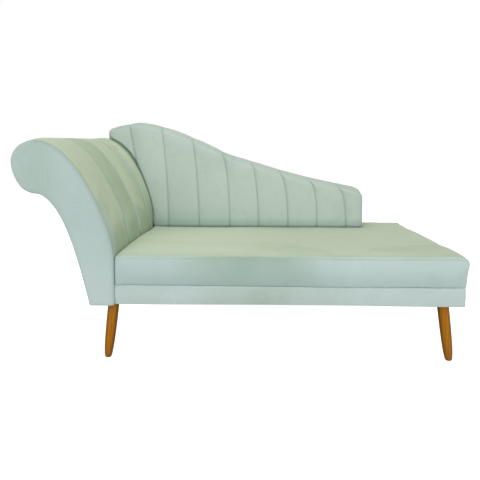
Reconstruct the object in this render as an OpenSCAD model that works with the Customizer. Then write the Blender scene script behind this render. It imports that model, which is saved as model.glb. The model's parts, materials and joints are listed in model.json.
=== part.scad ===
// Recamier: a chaise longue with one scrolled arm, a swept channelled back and four splayed legs.
// X runs from the arm to the open end, Y from front to rear, Z up from the floor.

/* [Overall] */
// Length from the outside of the scroll to the open end
overall_l = 1600; // [1500:10:1800]
// Depth over the seat rails
frame_d = 660; // [620:5:760]
// How far each arm facing stands proud of the rails
facing_proud = 8; // [4:1:12]

/* [Seat frame] */
// Floor to the underside of the border
leg_h = 210; // [150:5:260]
// Height of the upholstered border round the rails
border_h = 66; // [60:1:90]
// Thickness of the border's padding and cloth
border_t = 5; // [3:1:8]
// Outer corner radius of the border
border_r = 6; // [6:1:12]
// Thickness of the seat rails and of the back frame
rail_t = 30; // [24:1:36]
// Depth of the batten along the rear rail that carries the webbing
ledger_w = 25; // [18:1:30]
// Number of cross rails
cross_rails = 2; // [1:1:4]
// Height of the cross rails
cross_h = 34; // [25:1:45]
// Side of the corner blocks
block_w = 110; // [95:1:140]
// Height of the corner blocks
block_h = 40; // [30:1:50]

/* [Webbing and deck] */
// Width of one strap
web_w = 60; // [40:1:70]
// Thickness of one strap
web_t = 2; // [1.5:0.5:3]
// Number of straps along the seat
web_long_n = 4; // [3:1:5]
// Number of straps across the seat
web_cross_n = 9; // [6:1:12]
// Thickness of the deck cloth
deck_t = 1; // [1:0.5:2]
// Thickness of the dust cover under the frame
dust_t = 1; // [1:0.5:2]

/* [Seat cushion] */
// Height of the cushion's edge
seat_t = 99; // [80:1:130]
// Extra height in the middle of the cushion
seat_crown = 6; // [3:1:10]
// How far the cushion bulges past the open end of the border
end_bulge = 12; // [6:1:18]
// How far the cushion bulges past the front and rear rails
front_bulge = 7; // [3:1:8]
// Thickness of cover and wadding round the seat foam
seat_wall = 14; // [10:1:20]

/* [Arm] */
// Width of the arm from the seat to the outside of its scroll
arm_reach = 354; // [330:2:400]
// Height of the arm facing above the seat
arm_rise = 412; // [380:2:460]
// Radius of the scroll at the facing
roll_r = 90; // [80:1:100]
// Width of the arm at its foot
arm_foot = 93; // [86:1:110]
// Fullness of the channels over the facing's edge
arm_puff = 14; // [8:1:18]
// Extra fullness of the last channel towards the backrest
corner_puff = 32; // [10:1:38]
// Thickness of the channelled pad
arm_pad_t = 22; // [16:1:26]
// Thickness of the foam under the pad
arm_foam_t = 18; // [10:1:20]
// Thickness of the board that carries the foam
board_t = 4; // [3:1:5]
// Thickness of the profile ribs
rib_t = 18; // [15:1:22]
// Thickness of the facings
facing_t = 10; // [6:1:12]
// Thickness of the outside cloth
cloth_t = 3; // [2:0.5:4]
// Side of the square battens between the ribs
batten_w = 24; // [18:1:26]
// Seams of the inside arm, measured from the middle of its depth
arm_seams = [-138, 8, 150];

/* [Backrest] */
// Thickness of the backrest at its seams
back_t = 106; // [100:1:130]
// Free seat past the end of the backrest
back_open = 226; // [150:2:400]
// Highest point of the backrest above the seat
back_peak = 504; // [480:2:540]
// Height of the backrest's low end above the seat
back_low = 193; // [150:1:230]
// How far the backrest laps over the arm, from the edge of the seat
lap_l = 206; // [190:1:226]
// Height of the lap over the crown of the arm
lap_h = 52; // [46:1:64]
// Fullness of the back channels
back_puff = 12; // [6:1:16]
// Distance between two seams of the backrest
back_pitch = 142; // [120:1:170]
// How far the seams lean towards the arm at the crown
seam_lean = 40; // [0:1:50]
// Thickness of the channelled back pad
back_pad_t = 30; // [24:1:34]
// Thickness of the pad over the crown
crown_t = 28; // [24:1:32]
// Height of the curved top batten
top_batten_h = 20; // [16:1:26]
// Height of the back's bottom rail
back_rail_h = 50; // [40:1:60]
// Width of the back posts
post_w = 45; // [35:1:55]

/* [Legs] */
// Diameter of a leg at its top
leg_top_d = 40; // [32:1:46]
// Diameter of a leg above its foot
leg_foot_d = 27; // [18:1:30]
// Height of the rounded foot
foot_h = 13; // [8:1:16]
// Rail face to the leg's axis at its top
leg_inset = 49; // [45:1:56]
// End of the border to the leg's axis at its top
leg_end_inset = 55; // [50:1:62]
// Seat edge to the axis of the legs under the arm
leg_arm_inset = 19; // [12:1:28]
// Lean of a leg away from the middle, in each direction
leg_splay = 5.6; // [2:0.1:7]

/* [Hardware] */
// Side of the steel leg plates
plate_w = 70; // [64:1:80]
// Thickness of the steel leg plates
plate_t = 3; // [2:0.5:4]
// Diameter of the leg studs and frame bolts
bolt_d = 8; // [6:1:10]
// Diameter of the bolt heads
bolt_head_d = 16; // [14:1:18]
// Height of the bolt heads
bolt_head_h = 5; // [4:0.5:6]
// Diameter of the plate screws
screw_d = 4; // [3:0.5:5]
// Length of the plate screws in the wood
screw_l = 22; // [16:1:28]
// Spacing of the dust cover staples
staple_pitch = 140; // [90:5:200]

/* [Hidden] */
gap = 0.3;
$fn = 48;

fabric = [0.69, 0.76, 0.72];
fabric_shade = [0.64, 0.71, 0.66];
pine = [0.84, 0.70, 0.47];
ply = [0.78, 0.62, 0.40];
lacquered = [0.66, 0.40, 0.12];
foam_yellow = [0.93, 0.87, 0.66];
jute = [0.72, 0.58, 0.36];
steel = [0.70, 0.71, 0.73];
black_cloth = [0.16, 0.16, 0.17];
kraft = [0.70, 0.56, 0.40];

// Places along X
scroll_x = -overall_l / 2;
seat_x0 = scroll_x + arm_reach;
seat_x1 = overall_l / 2 - end_bulge;
back_x1 = overall_l / 2 - back_open;
rail_x1 = seat_x1 - border_t - gap;

// Places along Y, from the middle of the depth
rail_y = frame_d / 2 - border_t - gap;
facing_y = frame_d / 2 + facing_proud;
arm_y = facing_y - facing_t - gap;
back_y = frame_d / 2 - back_t;

// Places along Z
rail_z0 = leg_h + dust_t + gap;
border_z1 = leg_h + border_h;
rail_z1 = border_z1 - 2 * web_t - deck_t;
seat_z = border_z1 + seat_t;
cushion_z0 = border_z1 + gap;
block_z1 = rail_z0 + block_h;

// Points of a cubic curve, n + 1 of them
function curve(a, b, c, d, n) = [for (i = [0:n]) let (t = i / n, s = 1 - t)
    s * s * s * a + 3 * s * s * t * b + 3 * s * t * t * c + t * t * t * d];

// Unit normal on the right of a path at point i
function side_of(p, i) = let (
        n = len(p) - 1,
        d = i == 0 ? 4 * p[1] - 3 * p[0] - p[2]
            : i == n ? 3 * p[n] - 4 * p[n - 1] + p[n - 2]
            : p[i + 1] - p[i - 1])
    [d.y, -d.x] / norm(d);

// A path moved sideways: to its right when d is positive
function moved(p, d) = [for (i = [0:len(p) - 1]) p[i] + d * side_of(p, i)];

// Every second point of a path, with both ends
function thinned(p) = [for (i = [0:2:len(p) - 1]) p[i]];

function reversed(p) = [for (i = [len(p) - 1:-1:0]) p[i]];

// Closed band between two distances from a path
function band(p, d0, d1) = concat(moved(p, d0), reversed(moved(p, d1)));

// Fullness across one channel, 0 at its seams and 1 in its middle
function full(u) = pow(sin(180 * u), 0.6);

// Arm profile: up from the seat edge, over the crown, round the scroll and down to the foot
facing_gap = 2;
inner_foot_pull = [-15, 128];
crown_pull = 129;
under_pull = [76, -8];
outer_foot_pull = [-28, 140];
roll_c = [scroll_x + facing_gap + roll_r, seat_z + arm_rise - roll_r];
pad_end_a = 255;
roll_step = 15;
inner_steps = 11;
arm_floor = block_z1 + gap;
arm_inner = curve([seat_x0 - gap, seat_z], [seat_x0, seat_z] + inner_foot_pull,
    roll_c + [crown_pull, roll_r], roll_c + [0, roll_r], inner_steps);
arm_roll = [for (a = [90 + roll_step:roll_step:pad_end_a]) roll_c + roll_r * [cos(a), sin(a)]];
arm_under = [for (a = [pad_end_a + 1:7:270]) roll_c + roll_r * [cos(a), sin(a)]];
outer_foot = [seat_x0 - arm_foot, leg_h];
outer_steps = 12;
outer_curve = curve(roll_c - [0, roll_r], roll_c + under_pull - [0, roll_r],
    outer_foot + outer_foot_pull, outer_foot, outer_steps);
arm_outer = concat(arm_under, [for (i = [1:outer_steps]) outer_curve[i]]);
pad_path = concat([[seat_x0 - gap, arm_floor], [seat_x0 - gap, seat_z - 4]], arm_inner, arm_roll);
facing_path = concat([[seat_x0 - gap, leg_h]], arm_inner, arm_roll, arm_outer);

// Layers of the arm, as depths below the profile
foam_in = arm_pad_t + gap;
board_in = foam_in + arm_foam_t + gap;
rib_in = board_in + board_t;
board_out = cloth_t + gap;
rib_out = board_out + board_t;

function pad_layer(d) = thinned(moved(pad_path, -d));

// Crown line of the backrest, from its lap over the arm to its low end
arm_top = seat_z + arm_rise + arm_puff;
lap_x = seat_x0 - lap_l;
lap_r = 30;
peak_in = 155;
end_in = 39;
end_drop = 54;
lap_pull = [50, 14];
peak_pull_in = [-60, 0];
peak_pull_out = [236, -18];
sweep_pull = [-645, 115];
end_pull = [26, -6];
end_rise = 32;
sweep_steps = 22;
end_steps = 6;
peak = [lap_x + peak_in, seat_z + back_peak];
low = [back_x1 - end_in, seat_z + back_low];
end_low = [back_x1, low.y - end_drop];
lap_top = [lap_x + lap_r, arm_top + lap_h];
sweep = curve(peak, peak + peak_pull_out, low + sweep_pull, low, sweep_steps);
end_turn = curve(low, low + end_pull, end_low + [0, end_rise], end_low, end_steps);
crown_line = concat(
    [for (a = [180:-15:105]) lap_top + [lap_r * cos(a), lap_r * (sin(a) - 1)]],
    curve(lap_top, lap_top + lap_pull, peak + peak_pull_in, peak, 6),
    [for (i = [1:sweep_steps]) sweep[i]],
    [for (i = [1:end_steps]) end_turn[i]]);
function crown(x) = lookup(x, crown_line);

// Lower edge of the backrest: the arm, then the seat frame
lap_gap = 1.5;
lap_edge = moved(arm_inner, arm_puff + lap_gap);
lap_edge_x = lap_edge[0].x;
lap_line = concat([[lap_x - 1, arm_top + lap_gap]],
    [for (i = [len(lap_edge) - 1:-1:0]) if (lap_edge[i].x > lap_x) lap_edge[i]]);
function back_floor(x) = x > lap_edge_x ? cushion_z0 : min(arm_top + lap_gap, lookup(x, lap_line));

// Layers of the backrest, as places along Y
back_foam_y = back_y + back_pad_t + gap;
back_frame_y = rail_y - rail_t;
back_board_y = back_frame_y - board_t;
back_cloth_y = frame_d / 2 - cloth_t;
solid_lap = 30;
core_play = 10;
core_x0 = lap_x + solid_lap + core_play;
core_x1 = back_x1 - cloth_t - 2 * gap;
crown_gap = 0.9;
batten_drop = crown_t + crown_gap;
post_drop = batten_drop + top_batten_h;
back_rail_z1 = rail_z1 + back_rail_h;
post_x0 = lap_edge_x + 6;
post_n = 4;
wing_in = 95;
post_pitch = (core_x1 - post_w - post_x0) / (post_n - 1);

// Upright panel of the backrest between two places along X, lowered from the crown
function panel(x0, x1, drop, floor_z) = let (
        xs = concat([x0], [for (p = crown_line) if (p.x > x0 + 1 && p.x < x1 - 1) p.x], [x1]),
        fs = concat([x0], [for (p = reversed(lap_edge)) if (p.x > x0 + 1 && p.x < x1 - 1) p.x],
            [lap_edge_x + 0.01, x1]))
    concat([for (x = xs) [x, crown(x) - drop]],
        [for (x = reversed(fs)) if (x <= x1 && x >= x0) [x, max(floor_z, back_floor(x))]]);

// Solid through rings of equal length; caps lists the convex faces that close its first and last ring
module loft(rings, caps) {
    n = len(rings[0]);
    m = len(rings);
    ends = [for (c = caps) for (i = [1:len(c) - 2]) [c[0], c[i], c[i + 1]]];
    polyhedron(
        points = [for (r = rings) for (p = r) p],
        faces = concat(
            ends,
            [for (t = ends) [for (i = reversed(t)) (m - 1) * n + i]],
            [for (j = [0:m - 2]) for (i = [0:n - 1]) let (k = (i + 1) % n)
                [j * n + i, (j + 1) * n + i, j * n + k]],
            [for (j = [0:m - 2]) for (i = [0:n - 1]) let (k = (i + 1) % n)
                [j * n + k, (j + 1) * n + i, (j + 1) * n + k]]));
}

// Outline in X and Z, extruded from y0 to y1
module upright(outline, y0, y1) {
    translate([0, y1, 0]) rotate([90, 0, 0]) linear_extrude(y1 - y0) polygon(outline);
}

module block(x0, x1, y0, y1, z0, z1) {
    translate([x0, y0, z0]) cube([x1 - x0, y1 - y0, z1 - z0]);
}

// Legs: each corner as its place at the top and its directions
leg_y = frame_d / 2 - leg_inset;
leg_spots = [
    [seat_x0 - leg_arm_inset, -leg_y, -1, -1], [seat_x1 - leg_end_inset, -leg_y, 1, -1],
    [seat_x0 - leg_arm_inset, leg_y, -1, 1], [seat_x1 - leg_end_inset, leg_y, 1, 1]];
leg_top_z = rail_z0 - plate_t;
leg_tilt = atan(norm([tan(leg_splay), tan(leg_splay)]));
leg_long = leg_top_z / cos(leg_tilt);
stud_down = 35;
stud_up = 14;
boss_h = 9;
boss_d = 18;
foot_flat = leg_foot_d / 2 - 5.7;

// Side of a leg from its top to the rounded foot, a little convex: radius and place along its axis
leg_steps = 8;
leg_side = curve([leg_top_d / 2, -2], [leg_top_d / 2 - 0.4, -0.52 * leg_long],
    [leg_foot_d / 2 + 4.5, -0.82 * leg_long], [leg_foot_d / 2, foot_h - leg_long], leg_steps);

// Rounded foot, as how far it draws in and its share of the foot's height
foot_round = [[0.8, 0.58], [2.6, 0.22]];
leg_over = 10;

// Places what is drawn along -Z onto the axis of one leg
module at_leg(s) {
    translate([s[0], s[1], leg_top_z])
        rotate([0, 0, atan2(s[3], s[2])])
            rotate([0, -leg_tilt, 0])
                children();
}

module leg_stud_shape(s, d) {
    at_leg(s) translate([0, 0, -stud_down]) cylinder(d = d, h = stud_down + plate_t + stud_up);
}

module leg(s) {
    color(lacquered) difference() {
        intersection() {
            at_leg(s) rotate_extrude() polygon([
                [0, leg_over], [leg_top_d / 2, leg_over],
                for (p = leg_side) p,
                for (e = foot_round) [leg_foot_d / 2 - e.x, e.y * foot_h - leg_long],
                [foot_flat, -leg_long - 1], [foot_flat, -leg_long - leg_over], [0, -leg_long - leg_over]]);
            block(s[0] - leg_h, s[0] + leg_h, s[1] - leg_h, s[1] + leg_h, 0, leg_top_z);
        }
        at_leg(s) translate([0, 0, -stud_down - gap]) cylinder(d = bolt_d + gap, h = stud_down * 2);
    }
}

// The four screw places of one leg plate
screw_edge = 8;
screw_off = plate_w / 2 - screw_edge;
screw_spots = [for (s = leg_spots) for (i = [-1, 1]) for (j = [-1, 1])
    [s[0] + i * screw_off, s[1] + j * screw_off]];

// Room for the leg hardware in the wood above the plates
module hardware_room() {
    for (p = screw_spots) translate([p.x, p.y, rail_z0 - 1]) cylinder(d = screw_d + gap, h = screw_l + 2);
    for (s = leg_spots) {
        translate([s[0], s[1], rail_z0 - 1]) cylinder(d = boss_d + 2 * gap, h = boss_h + 2);
        leg_stud_shape(s, bolt_d + 6 * gap);
    }
}

// Staples along the edge of the dust cover
staple_l = 10;
staple_leg = 6;
staple_wire = 0.9;
staple_in = 14;
dust_in = 4;
dust_x0 = seat_x0 + dust_in;
dust_x1 = rail_x1 - dust_in;
dust_y = rail_y - dust_in;
plate_play = 20;
corner_free = leg_end_inset + plate_w / 2 + plate_play;
function spread(a, b, pitch) = let (n = max(1, round((b - a) / pitch))) [for (i = [0:n]) a + i * (b - a) / n];
staple_spots = concat(
    [for (x = spread(dust_x0 + corner_free / 2, dust_x1 - corner_free, staple_pitch)) for (s = [-1, 1])
        [x, s * (dust_y - staple_in), 0]],
    [for (y = spread(corner_free - dust_y, dust_y - corner_free, staple_pitch))
        for (x = [dust_x0 + staple_in, dust_x1 - staple_in]) [x, y, 90]]);

module staple_at(p, grow) {
    translate([p.x, p.y, leg_h]) rotate([0, 0, p.z])
        for (s = [-1, 1]) translate([s * (staple_l - staple_wire) / 2, 0, staple_leg / 2])
            cube([staple_wire + grow, staple_wire + grow, staple_leg + grow], center = true);
}

module staple_room() {
    for (p = staple_spots) staple_at(p, gap);
}

// Bolts: places along the arm joint and along the back joint
arm_bolt_z = rail_z0 + block_h / 2;
arm_bolt_off = 190;
arm_bolt_y = [-arm_bolt_off, 0, arm_bolt_off];
arm_bolt_l = 62;
head_play = 2;
back_bolt_x = [for (i = [0:post_n - 1]) post_x0 + post_w / 2 + i * post_pitch];
back_bolt_y = rail_y - rail_t / 2;
back_bolt_l = 44;
head_room = bolt_head_h + 4;

module arm_bolt_room(extra) {
    for (y = arm_bolt_y) translate([seat_x0 - arm_bolt_l - gap, y, arm_bolt_z]) rotate([0, 90, 0])
        cylinder(d = bolt_d + gap, h = arm_bolt_l + rail_t + extra);
}

module back_bolt_room() {
    for (x = back_bolt_x) {
        translate([x, back_bolt_y, rail_z0 - 1])
            cylinder(d = bolt_d + gap, h = rail_z1 - rail_z0 + back_bolt_l + 1 + gap);
        translate([x, back_bolt_y, rail_z0 - 1]) cylinder(d = bolt_head_d + head_play, h = head_room + 1);
    }
}

// Seat frame
module long_rail(y0) {
    difference() {
        block(seat_x0, rail_x1, y0, y0 + rail_t, rail_z0, rail_z1);
        hardware_room();
        staple_room();
        back_bolt_room();
    }
}

module front_rail() {
    color(pine) long_rail(-rail_y);
}

module rear_rail() {
    color(pine) long_rail(rail_y - rail_t);
}

inner_y = rail_y - rail_t;

module end_rail(x0) {
    difference() {
        block(x0, x0 + rail_t, -inner_y, inner_y, rail_z0, rail_z1);
        hardware_room();
        staple_room();
        arm_bolt_room(1);
    }
}

module arm_end_rail() {
    color(pine) end_rail(seat_x0);
}

module open_end_rail() {
    color(pine) end_rail(rail_x1 - rail_t);
}

bay_x0 = seat_x0 + rail_t;
bay_x1 = rail_x1 - rail_t;

module cross_rails_pair() {
    color(pine) for (i = [1:cross_rails]) {
        x = bay_x0 + i * (bay_x1 - bay_x0) / (cross_rails + 1);
        block(x - rail_t / 2, x + rail_t / 2, -inner_y, inner_y, rail_z0, rail_z0 + cross_h);
    }
}

module corner_blocks() {
    color(pine) difference() {
        for (s = [-1, 1]) for (e = [[bay_x0, 1], [bay_x1, -1]])
            translate([0, 0, rail_z0]) linear_extrude(block_h) polygon([
                [e[0], s * inner_y], [e[0] + e[1] * block_w, s * inner_y], [e[0], s * (inner_y - block_w)]]);
        hardware_room();
        for (y = arm_bolt_y) translate([bay_x0 - 1, y, arm_bolt_z]) rotate([0, 90, 0])
            cylinder(d = bolt_head_d + head_play, h = head_room + 1);
    }
}

module webbing_ledger() {
    color(pine) block(bay_x0, bay_x1, inner_y - ledger_w, inner_y, rail_z0 + block_h + gap, rail_z1);
}

web_in = 6;

module webbing_long() {
    y0 = -inner_y + web_w;
    y1 = inner_y - ledger_w - web_w;
    color(jute) for (i = [0:web_long_n - 1]) {
        y = y0 + i * (y1 - y0) / (web_long_n - 1);
        block(seat_x0 + web_in, rail_x1 - web_in, y - web_w / 2, y + web_w / 2, rail_z1, rail_z1 + web_t);
    }
}

module webbing_cross() {
    x0 = bay_x0 + web_w;
    x1 = bay_x1 - web_w;
    color(jute) for (i = [0:web_cross_n - 1]) {
        x = x0 + i * (x1 - x0) / (web_cross_n - 1);
        block(x - web_w / 2, x + web_w / 2, -rail_y + web_in, inner_y - gap,
            rail_z1 + web_t, rail_z1 + 2 * web_t);
    }
}

module deck_cloth() {
    color(jute) block(seat_x0 + 2, rail_x1 - 2, -rail_y + 2, inner_y - gap, rail_z1 + 2 * web_t, border_z1);
}

// Seat cushion: foam in a padded cover with drawn-in edges and a crown, cut out round the backrest
seat_front = -frame_d / 2 - front_bulge;
seat_rear = frame_d / 2 + front_bulge;
seat_at_back = back_y - gap;
tail_x0 = back_x1 + gap;

// Half the width of the flattest part of the crown, and the crown's share there
crown_y = 100;
crown_share = 0.83;

// Edge of the cushion above and below its fullest line, as distances in from the edge and from the face
edge_top = [[20, 0], [7, 9], [1, 24]];
edge_foot = [2, 12];
fullest = 0.45;

// One ring of the cushion across the seat; s draws the whole ring in
function seat_ring(x, rear, s) = let (
        f = seat_front + s, r = rear - s, b = cushion_z0 + s * 0.6, t = seat_z - s * 0.7,
        m = b + fullest * (t - b), c = seat_crown * max(0, 1 - s / 10))
    concat(
        [[x, f + front_bulge, b], [x, f + edge_foot.x, b + edge_foot.y], [x, f, m]],
        [for (e = reversed(edge_top)) [x, f + e.x, t - e.y]],
        [[x, -crown_y, t + crown_share * c], [x, 0, t + c], [x, crown_y, t + crown_share * c]],
        [for (e = edge_top) [x, r - e.x, t - e.y]],
        [[x, r, m], [x, r - edge_foot.x, b + edge_foot.y], [x, r - front_bulge, b]]);

// Ends of the cushion, as steps along it and how far each draws in
arm_end = [[0, 10], [4, 4], [12, 1], [26, 0]];
open_end = [[-6, 1], [0, 3], [6.5, 8], [10.5, 17], [12, 30]];
arm_end_l = 26;
open_end_l = 14;

seat_rings = concat(
    [for (e = arm_end) seat_ring(seat_x0 + e[0], seat_at_back, e[1])],
    [for (i = [1:5]) seat_ring(seat_x0 + arm_end_l + i / 6 * (tail_x0 - seat_x0 - arm_end_l), seat_at_back, 0)],
    [seat_ring(tail_x0, seat_at_back, 0), seat_ring(tail_x0 + 0.2, seat_rear, 0)],
    [for (i = [1:2]) seat_ring(tail_x0 + i * (seat_x1 - open_end_l - tail_x0) / 2, seat_rear, 0)],
    [for (e = open_end) seat_ring(seat_x1 + e[0] * end_bulge / 12, seat_rear, e[1])]);

module seat_core(g, z0) {
    x1 = seat_x1 - seat_wall - g;
    y0 = -frame_d / 2 + seat_wall + g;
    z1 = seat_z - seat_wall - g;
    block(seat_x0 + seat_wall + g, x1, y0, seat_at_back - seat_wall - g, z0, z1);
    block(tail_x0 + seat_wall + g, x1, y0, frame_d / 2 - seat_wall - g, z0, z1);
}

module seat_foam() {
    color(foam_yellow) seat_core(gap, cushion_z0);
}

module seat_cushion() {
    color(fabric) difference() {
        loft(reversed(seat_rings), [[for (i = [0:len(seat_rings[0]) - 1]) i]]);
        seat_core(0, cushion_z0 - 1);
    }
}

// Border: a padded band round the front, the open end and the rear
border_path = concat(
    [[seat_x0 + gap, -frame_d / 2]],
    [for (a = [-90:30:0]) [seat_x1, -frame_d / 2] + border_r * [cos(a) - 1, sin(a) + 1]],
    [for (a = [0:30:90]) [seat_x1, frame_d / 2] + border_r * [cos(a) - 1, sin(a) - 1]],
    [[seat_x0 + gap, frame_d / 2]]);

module base_border() {
    color(fabric) translate([0, 0, leg_h]) linear_extrude(border_h) polygon(band(border_path, 0, -border_t));
}

module dust_cover() {
    color(black_cloth) difference() {
        block(dust_x0, dust_x1, -dust_y, dust_y, leg_h, leg_h + dust_t);
        for (s = leg_spots) translate([s[0], s[1], leg_h])
            cube([plate_w + 2, plate_w + 2, 4 * dust_t], center = true);
        for (x = back_bolt_x) translate([x, back_bolt_y, leg_h - 1]) cylinder(d = bolt_head_d, h = dust_t + 2);
        staple_room();
    }
}

module dust_cover_staples() {
    color(steel) for (p = staple_spots) {
        staple_at(p, 0);
        translate([p.x, p.y, leg_h - staple_wire / 2]) rotate([0, 0, p.z])
            cube([staple_l, staple_wire, staple_wire], center = true);
    }
}

module leg_front_left() { leg(leg_spots[0]); }
module leg_front_right() { leg(leg_spots[1]); }
module leg_rear_left() { leg(leg_spots[2]); }
module leg_rear_right() { leg(leg_spots[3]); }

module leg_plates() {
    color(steel) for (s = leg_spots) difference() {
        union() {
            translate([s[0] - plate_w / 2, s[1] - plate_w / 2, leg_top_z]) cube([plate_w, plate_w, plate_t]);
            translate([s[0], s[1], leg_top_z]) cylinder(d = boss_d, h = plate_t + boss_h);
        }
        leg_stud_shape(s, bolt_d + gap);
        for (p = screw_spots) translate([p.x, p.y, leg_top_z - 1]) cylinder(d = screw_d + gap, h = plate_t + 2);
    }
}

module leg_studs() {
    color(steel) for (s = leg_spots) leg_stud_shape(s, bolt_d);
}

module plate_screws() {
    color(steel) for (p = screw_spots) translate([p.x, p.y, leg_top_z]) {
        cylinder(d = screw_d, h = plate_t + screw_l);
        translate([0, 0, -2]) cylinder(d = 2 * screw_d, h = 2);
    }
}

// Arm
module arm_bottom_rail() {
    x0 = seat_x0 - arm_foot + rib_out + gap;
    color(pine) difference() {
        block(x0, seat_x0, -arm_y, arm_y, rail_z0, block_z1);
        hardware_room();
        arm_bolt_room(1);
    }
}

rib_outline = let (o = [for (p = moved(arm_outer, -rib_out)) if (p.y > block_z1 + 1) p])
    concat([[pad_layer(rib_in)[0].x, block_z1]], [for (p = pad_layer(rib_in)) if (p.y > block_z1 + 1) p], o,
        [[lookup(block_z1, [for (p = reversed(moved(arm_outer, -rib_out))) [p.y, p.x]]), block_z1]]);

// Square battens inside the board: point of the pad's path, and room for the curve across the batten
batten_at = [[4, 1.5], [7, 2.5], [10, 2.5], [15, 4]];
batten_spots = [for (b = batten_at) let (n = side_of(pad_path, b[0]))
    [pad_path[b[0]] - (rib_in + batten_w / 2 + b[1]) * n, n]];

module batten_bar(s, y0, y1) {
    t = [-s[1].y, s[1].x];
    corners = [[-1, -1], [1, -1], [1, 1], [-1, 1]];
    upright([for (k = corners) s[0] + batten_w / 2 * (k[0] * t + k[1] * s[1])], y0, y1);
}

module rib(y0) {
    upright(rib_outline, y0, y0 + rib_t);
}

module arm_front_rib() {
    color(ply) rib(-arm_y);
}

module arm_middle_rib() {
    color(ply) difference() {
        rib(-rib_t / 2);
        for (s = batten_spots) batten_bar(s, -rib_t, rib_t);
    }
}

module arm_rear_rib() {
    color(ply) rib(arm_y - rib_t);
}

module arm_battens() {
    color(pine) for (s = batten_spots) batten_bar(s, -arm_y + rib_t, arm_y - rib_t);
}

module arm_inner_board() {
    color(kraft) upright(concat(pad_layer(board_in), reversed(pad_layer(rib_in))), -arm_y, arm_y);
}

module arm_outer_board() {
    color(kraft) upright(band(arm_outer, -board_out, -rib_out), -arm_y, arm_y);
}

module arm_foam() {
    color(foam_yellow) upright(concat(pad_layer(foam_in), reversed(pad_layer(board_in - gap))), -arm_y, arm_y);
}

// Fullness of the arm pad at point i of its profile: full two steps above the seat, less round the scroll
roll_fade_a = 105;
function arm_full(i) = i < 3 ? 0 : i < inner_steps + 3 ? min(1, (i - 2) / 2)
    : max(0, 1 - (i - inner_steps - 2) * roll_step / roll_fade_a);

// Extra fullness beside the backrest: along the profile, and across the arm
function corner_full(i) = let (t = (i - 2) / inner_steps)
    t <= 0 || t >= 1 ? 0 : min(1, t / 0.45) * min(1, (1 - t) / 0.2);
corner_y0 = 60;
corner_y1 = back_y - 20;
corner_y2 = back_y - 2;
function corner_at(y) = y < corner_y0 ? 0
    : y < corner_y1 ? pow((y - corner_y0) / (corner_y1 - corner_y0), 2)
    : max(0, 1 - pow((y - corner_y1) / (corner_y2 - corner_y1), 2));

arm_bounds = concat([-arm_y], arm_seams, [arm_y]);
channel_cuts = [0, 0.07, 0.22, 0.5, 0.78, 0.93];
arm_stations = concat(
    [for (c = [0:len(arm_bounds) - 2]) for (u = channel_cuts) if (c < len(arm_bounds) - 2 || u < 0.2)
        [arm_bounds[c] + u * (arm_bounds[c + 1] - arm_bounds[c]), full(u)]],
    [for (y = [corner_y1, (corner_y1 + corner_y2) / 2, corner_y2, (back_y + arm_y) / 2, arm_y - 12, arm_y])
        let (u = (y - arm_seams[2]) / (arm_y - arm_seams[2])) [y, full(u)]]);

function arm_ring(y, f) = let (
        c = corner_puff * corner_at(y),
        o = [for (i = [0:len(pad_path) - 1])
            pad_path[i] + (arm_puff * f * arm_full(i) + c * corner_full(i)) * side_of(pad_path, i)])
    [for (p = concat(o, reversed(pad_layer(arm_pad_t)))) [p.x, y, p.y]];

// Faces across one end of the pad: two outer steps to one inner step
arm_outer_n = len(pad_path);
arm_caps = [for (i = [0:(arm_outer_n - 3) / 2])
    let (a = len(arm_ring(0, 0)) - 1 - i) [a, 2 * i, 2 * i + 1, 2 * i + 2, a - 1]];

module arm_pad() {
    color(fabric_shade) loft(reversed([for (s = arm_stations) arm_ring(s[0], s[1])]), arm_caps);
}

module arm_front_facing() {
    color(fabric) upright(facing_path, -facing_y, -facing_y + facing_t);
}

module arm_rear_facing() {
    color(fabric) upright(facing_path, facing_y - facing_t, facing_y);
}

module arm_outside_cover() {
    color(fabric) upright(band(arm_outer, 0, -cloth_t), -arm_y, arm_y);
}

module arm_bolts() {
    color(steel) for (y = arm_bolt_y) translate([seat_x0, y, arm_bolt_z]) rotate([0, 90, 0]) {
        translate([0, 0, -arm_bolt_l]) cylinder(d = bolt_d, h = arm_bolt_l + rail_t);
        translate([0, 0, rail_t]) cylinder(d = bolt_head_d, h = bolt_head_h);
    }
}

// Backrest
module back_bottom_rail() {
    color(pine) difference() {
        block(post_x0, core_x1, back_frame_y, rail_y, rail_z1, back_rail_z1);
        back_bolt_room();
    }
}

module back_posts() {
    color(pine) for (i = [0:post_n - 1]) {
        x = post_x0 + i * post_pitch;
        upright(panel(x, x + post_w, post_drop, back_rail_z1), back_frame_y, rail_y);
    }
}

module back_top_batten() {
    xs = concat([core_x0], [for (p = crown_line) if (p.x > core_x0 + 1 && p.x < core_x1 - 1) p.x], [core_x1]);
    color(pine) upright(concat([for (x = xs) [x, crown(x) - batten_drop]],
        [for (x = reversed(xs)) [x, crown(x) - post_drop]]), back_frame_y, rail_y);
}

module back_wing_panel() {
    color(ply) upright(panel(peak.x - wing_in, post_x0, post_drop, back_rail_z1), rail_y - rib_t, rail_y);
}

module back_board() {
    color(kraft) upright(panel(core_x0, core_x1, batten_drop, 0), back_board_y, back_frame_y);
}

module back_foam() {
    color(foam_yellow) upright(panel(core_x0, core_x1, batten_drop, 0), back_foam_y, back_board_y - gap);
}

// Channelled back pad, over the crown to the rear edge
first_seam = 152;
last_channel = 60;
seam_x0 = lap_x + first_seam;
seam_n = floor((back_x1 - last_channel - seam_x0) / back_pitch) + 1;
back_bounds = concat([lap_x + 0.5], [for (i = [0:seam_n - 1]) seam_x0 + i * back_pitch], [core_x1]);
back_cuts = [0, 0.1, 0.28, 0.5, 0.72, 0.9];
crown_r = 42;
rear_r = 24;
rear_wall = 30;
base_rise = 24;

// Share of the seams' lean left at depth d below the crown
lean_depth = 121;
lean_end = 0.05;
function lean(d) = max(0, exp(-d / lean_depth) - lean_end) / (1 - lean_end);

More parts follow.
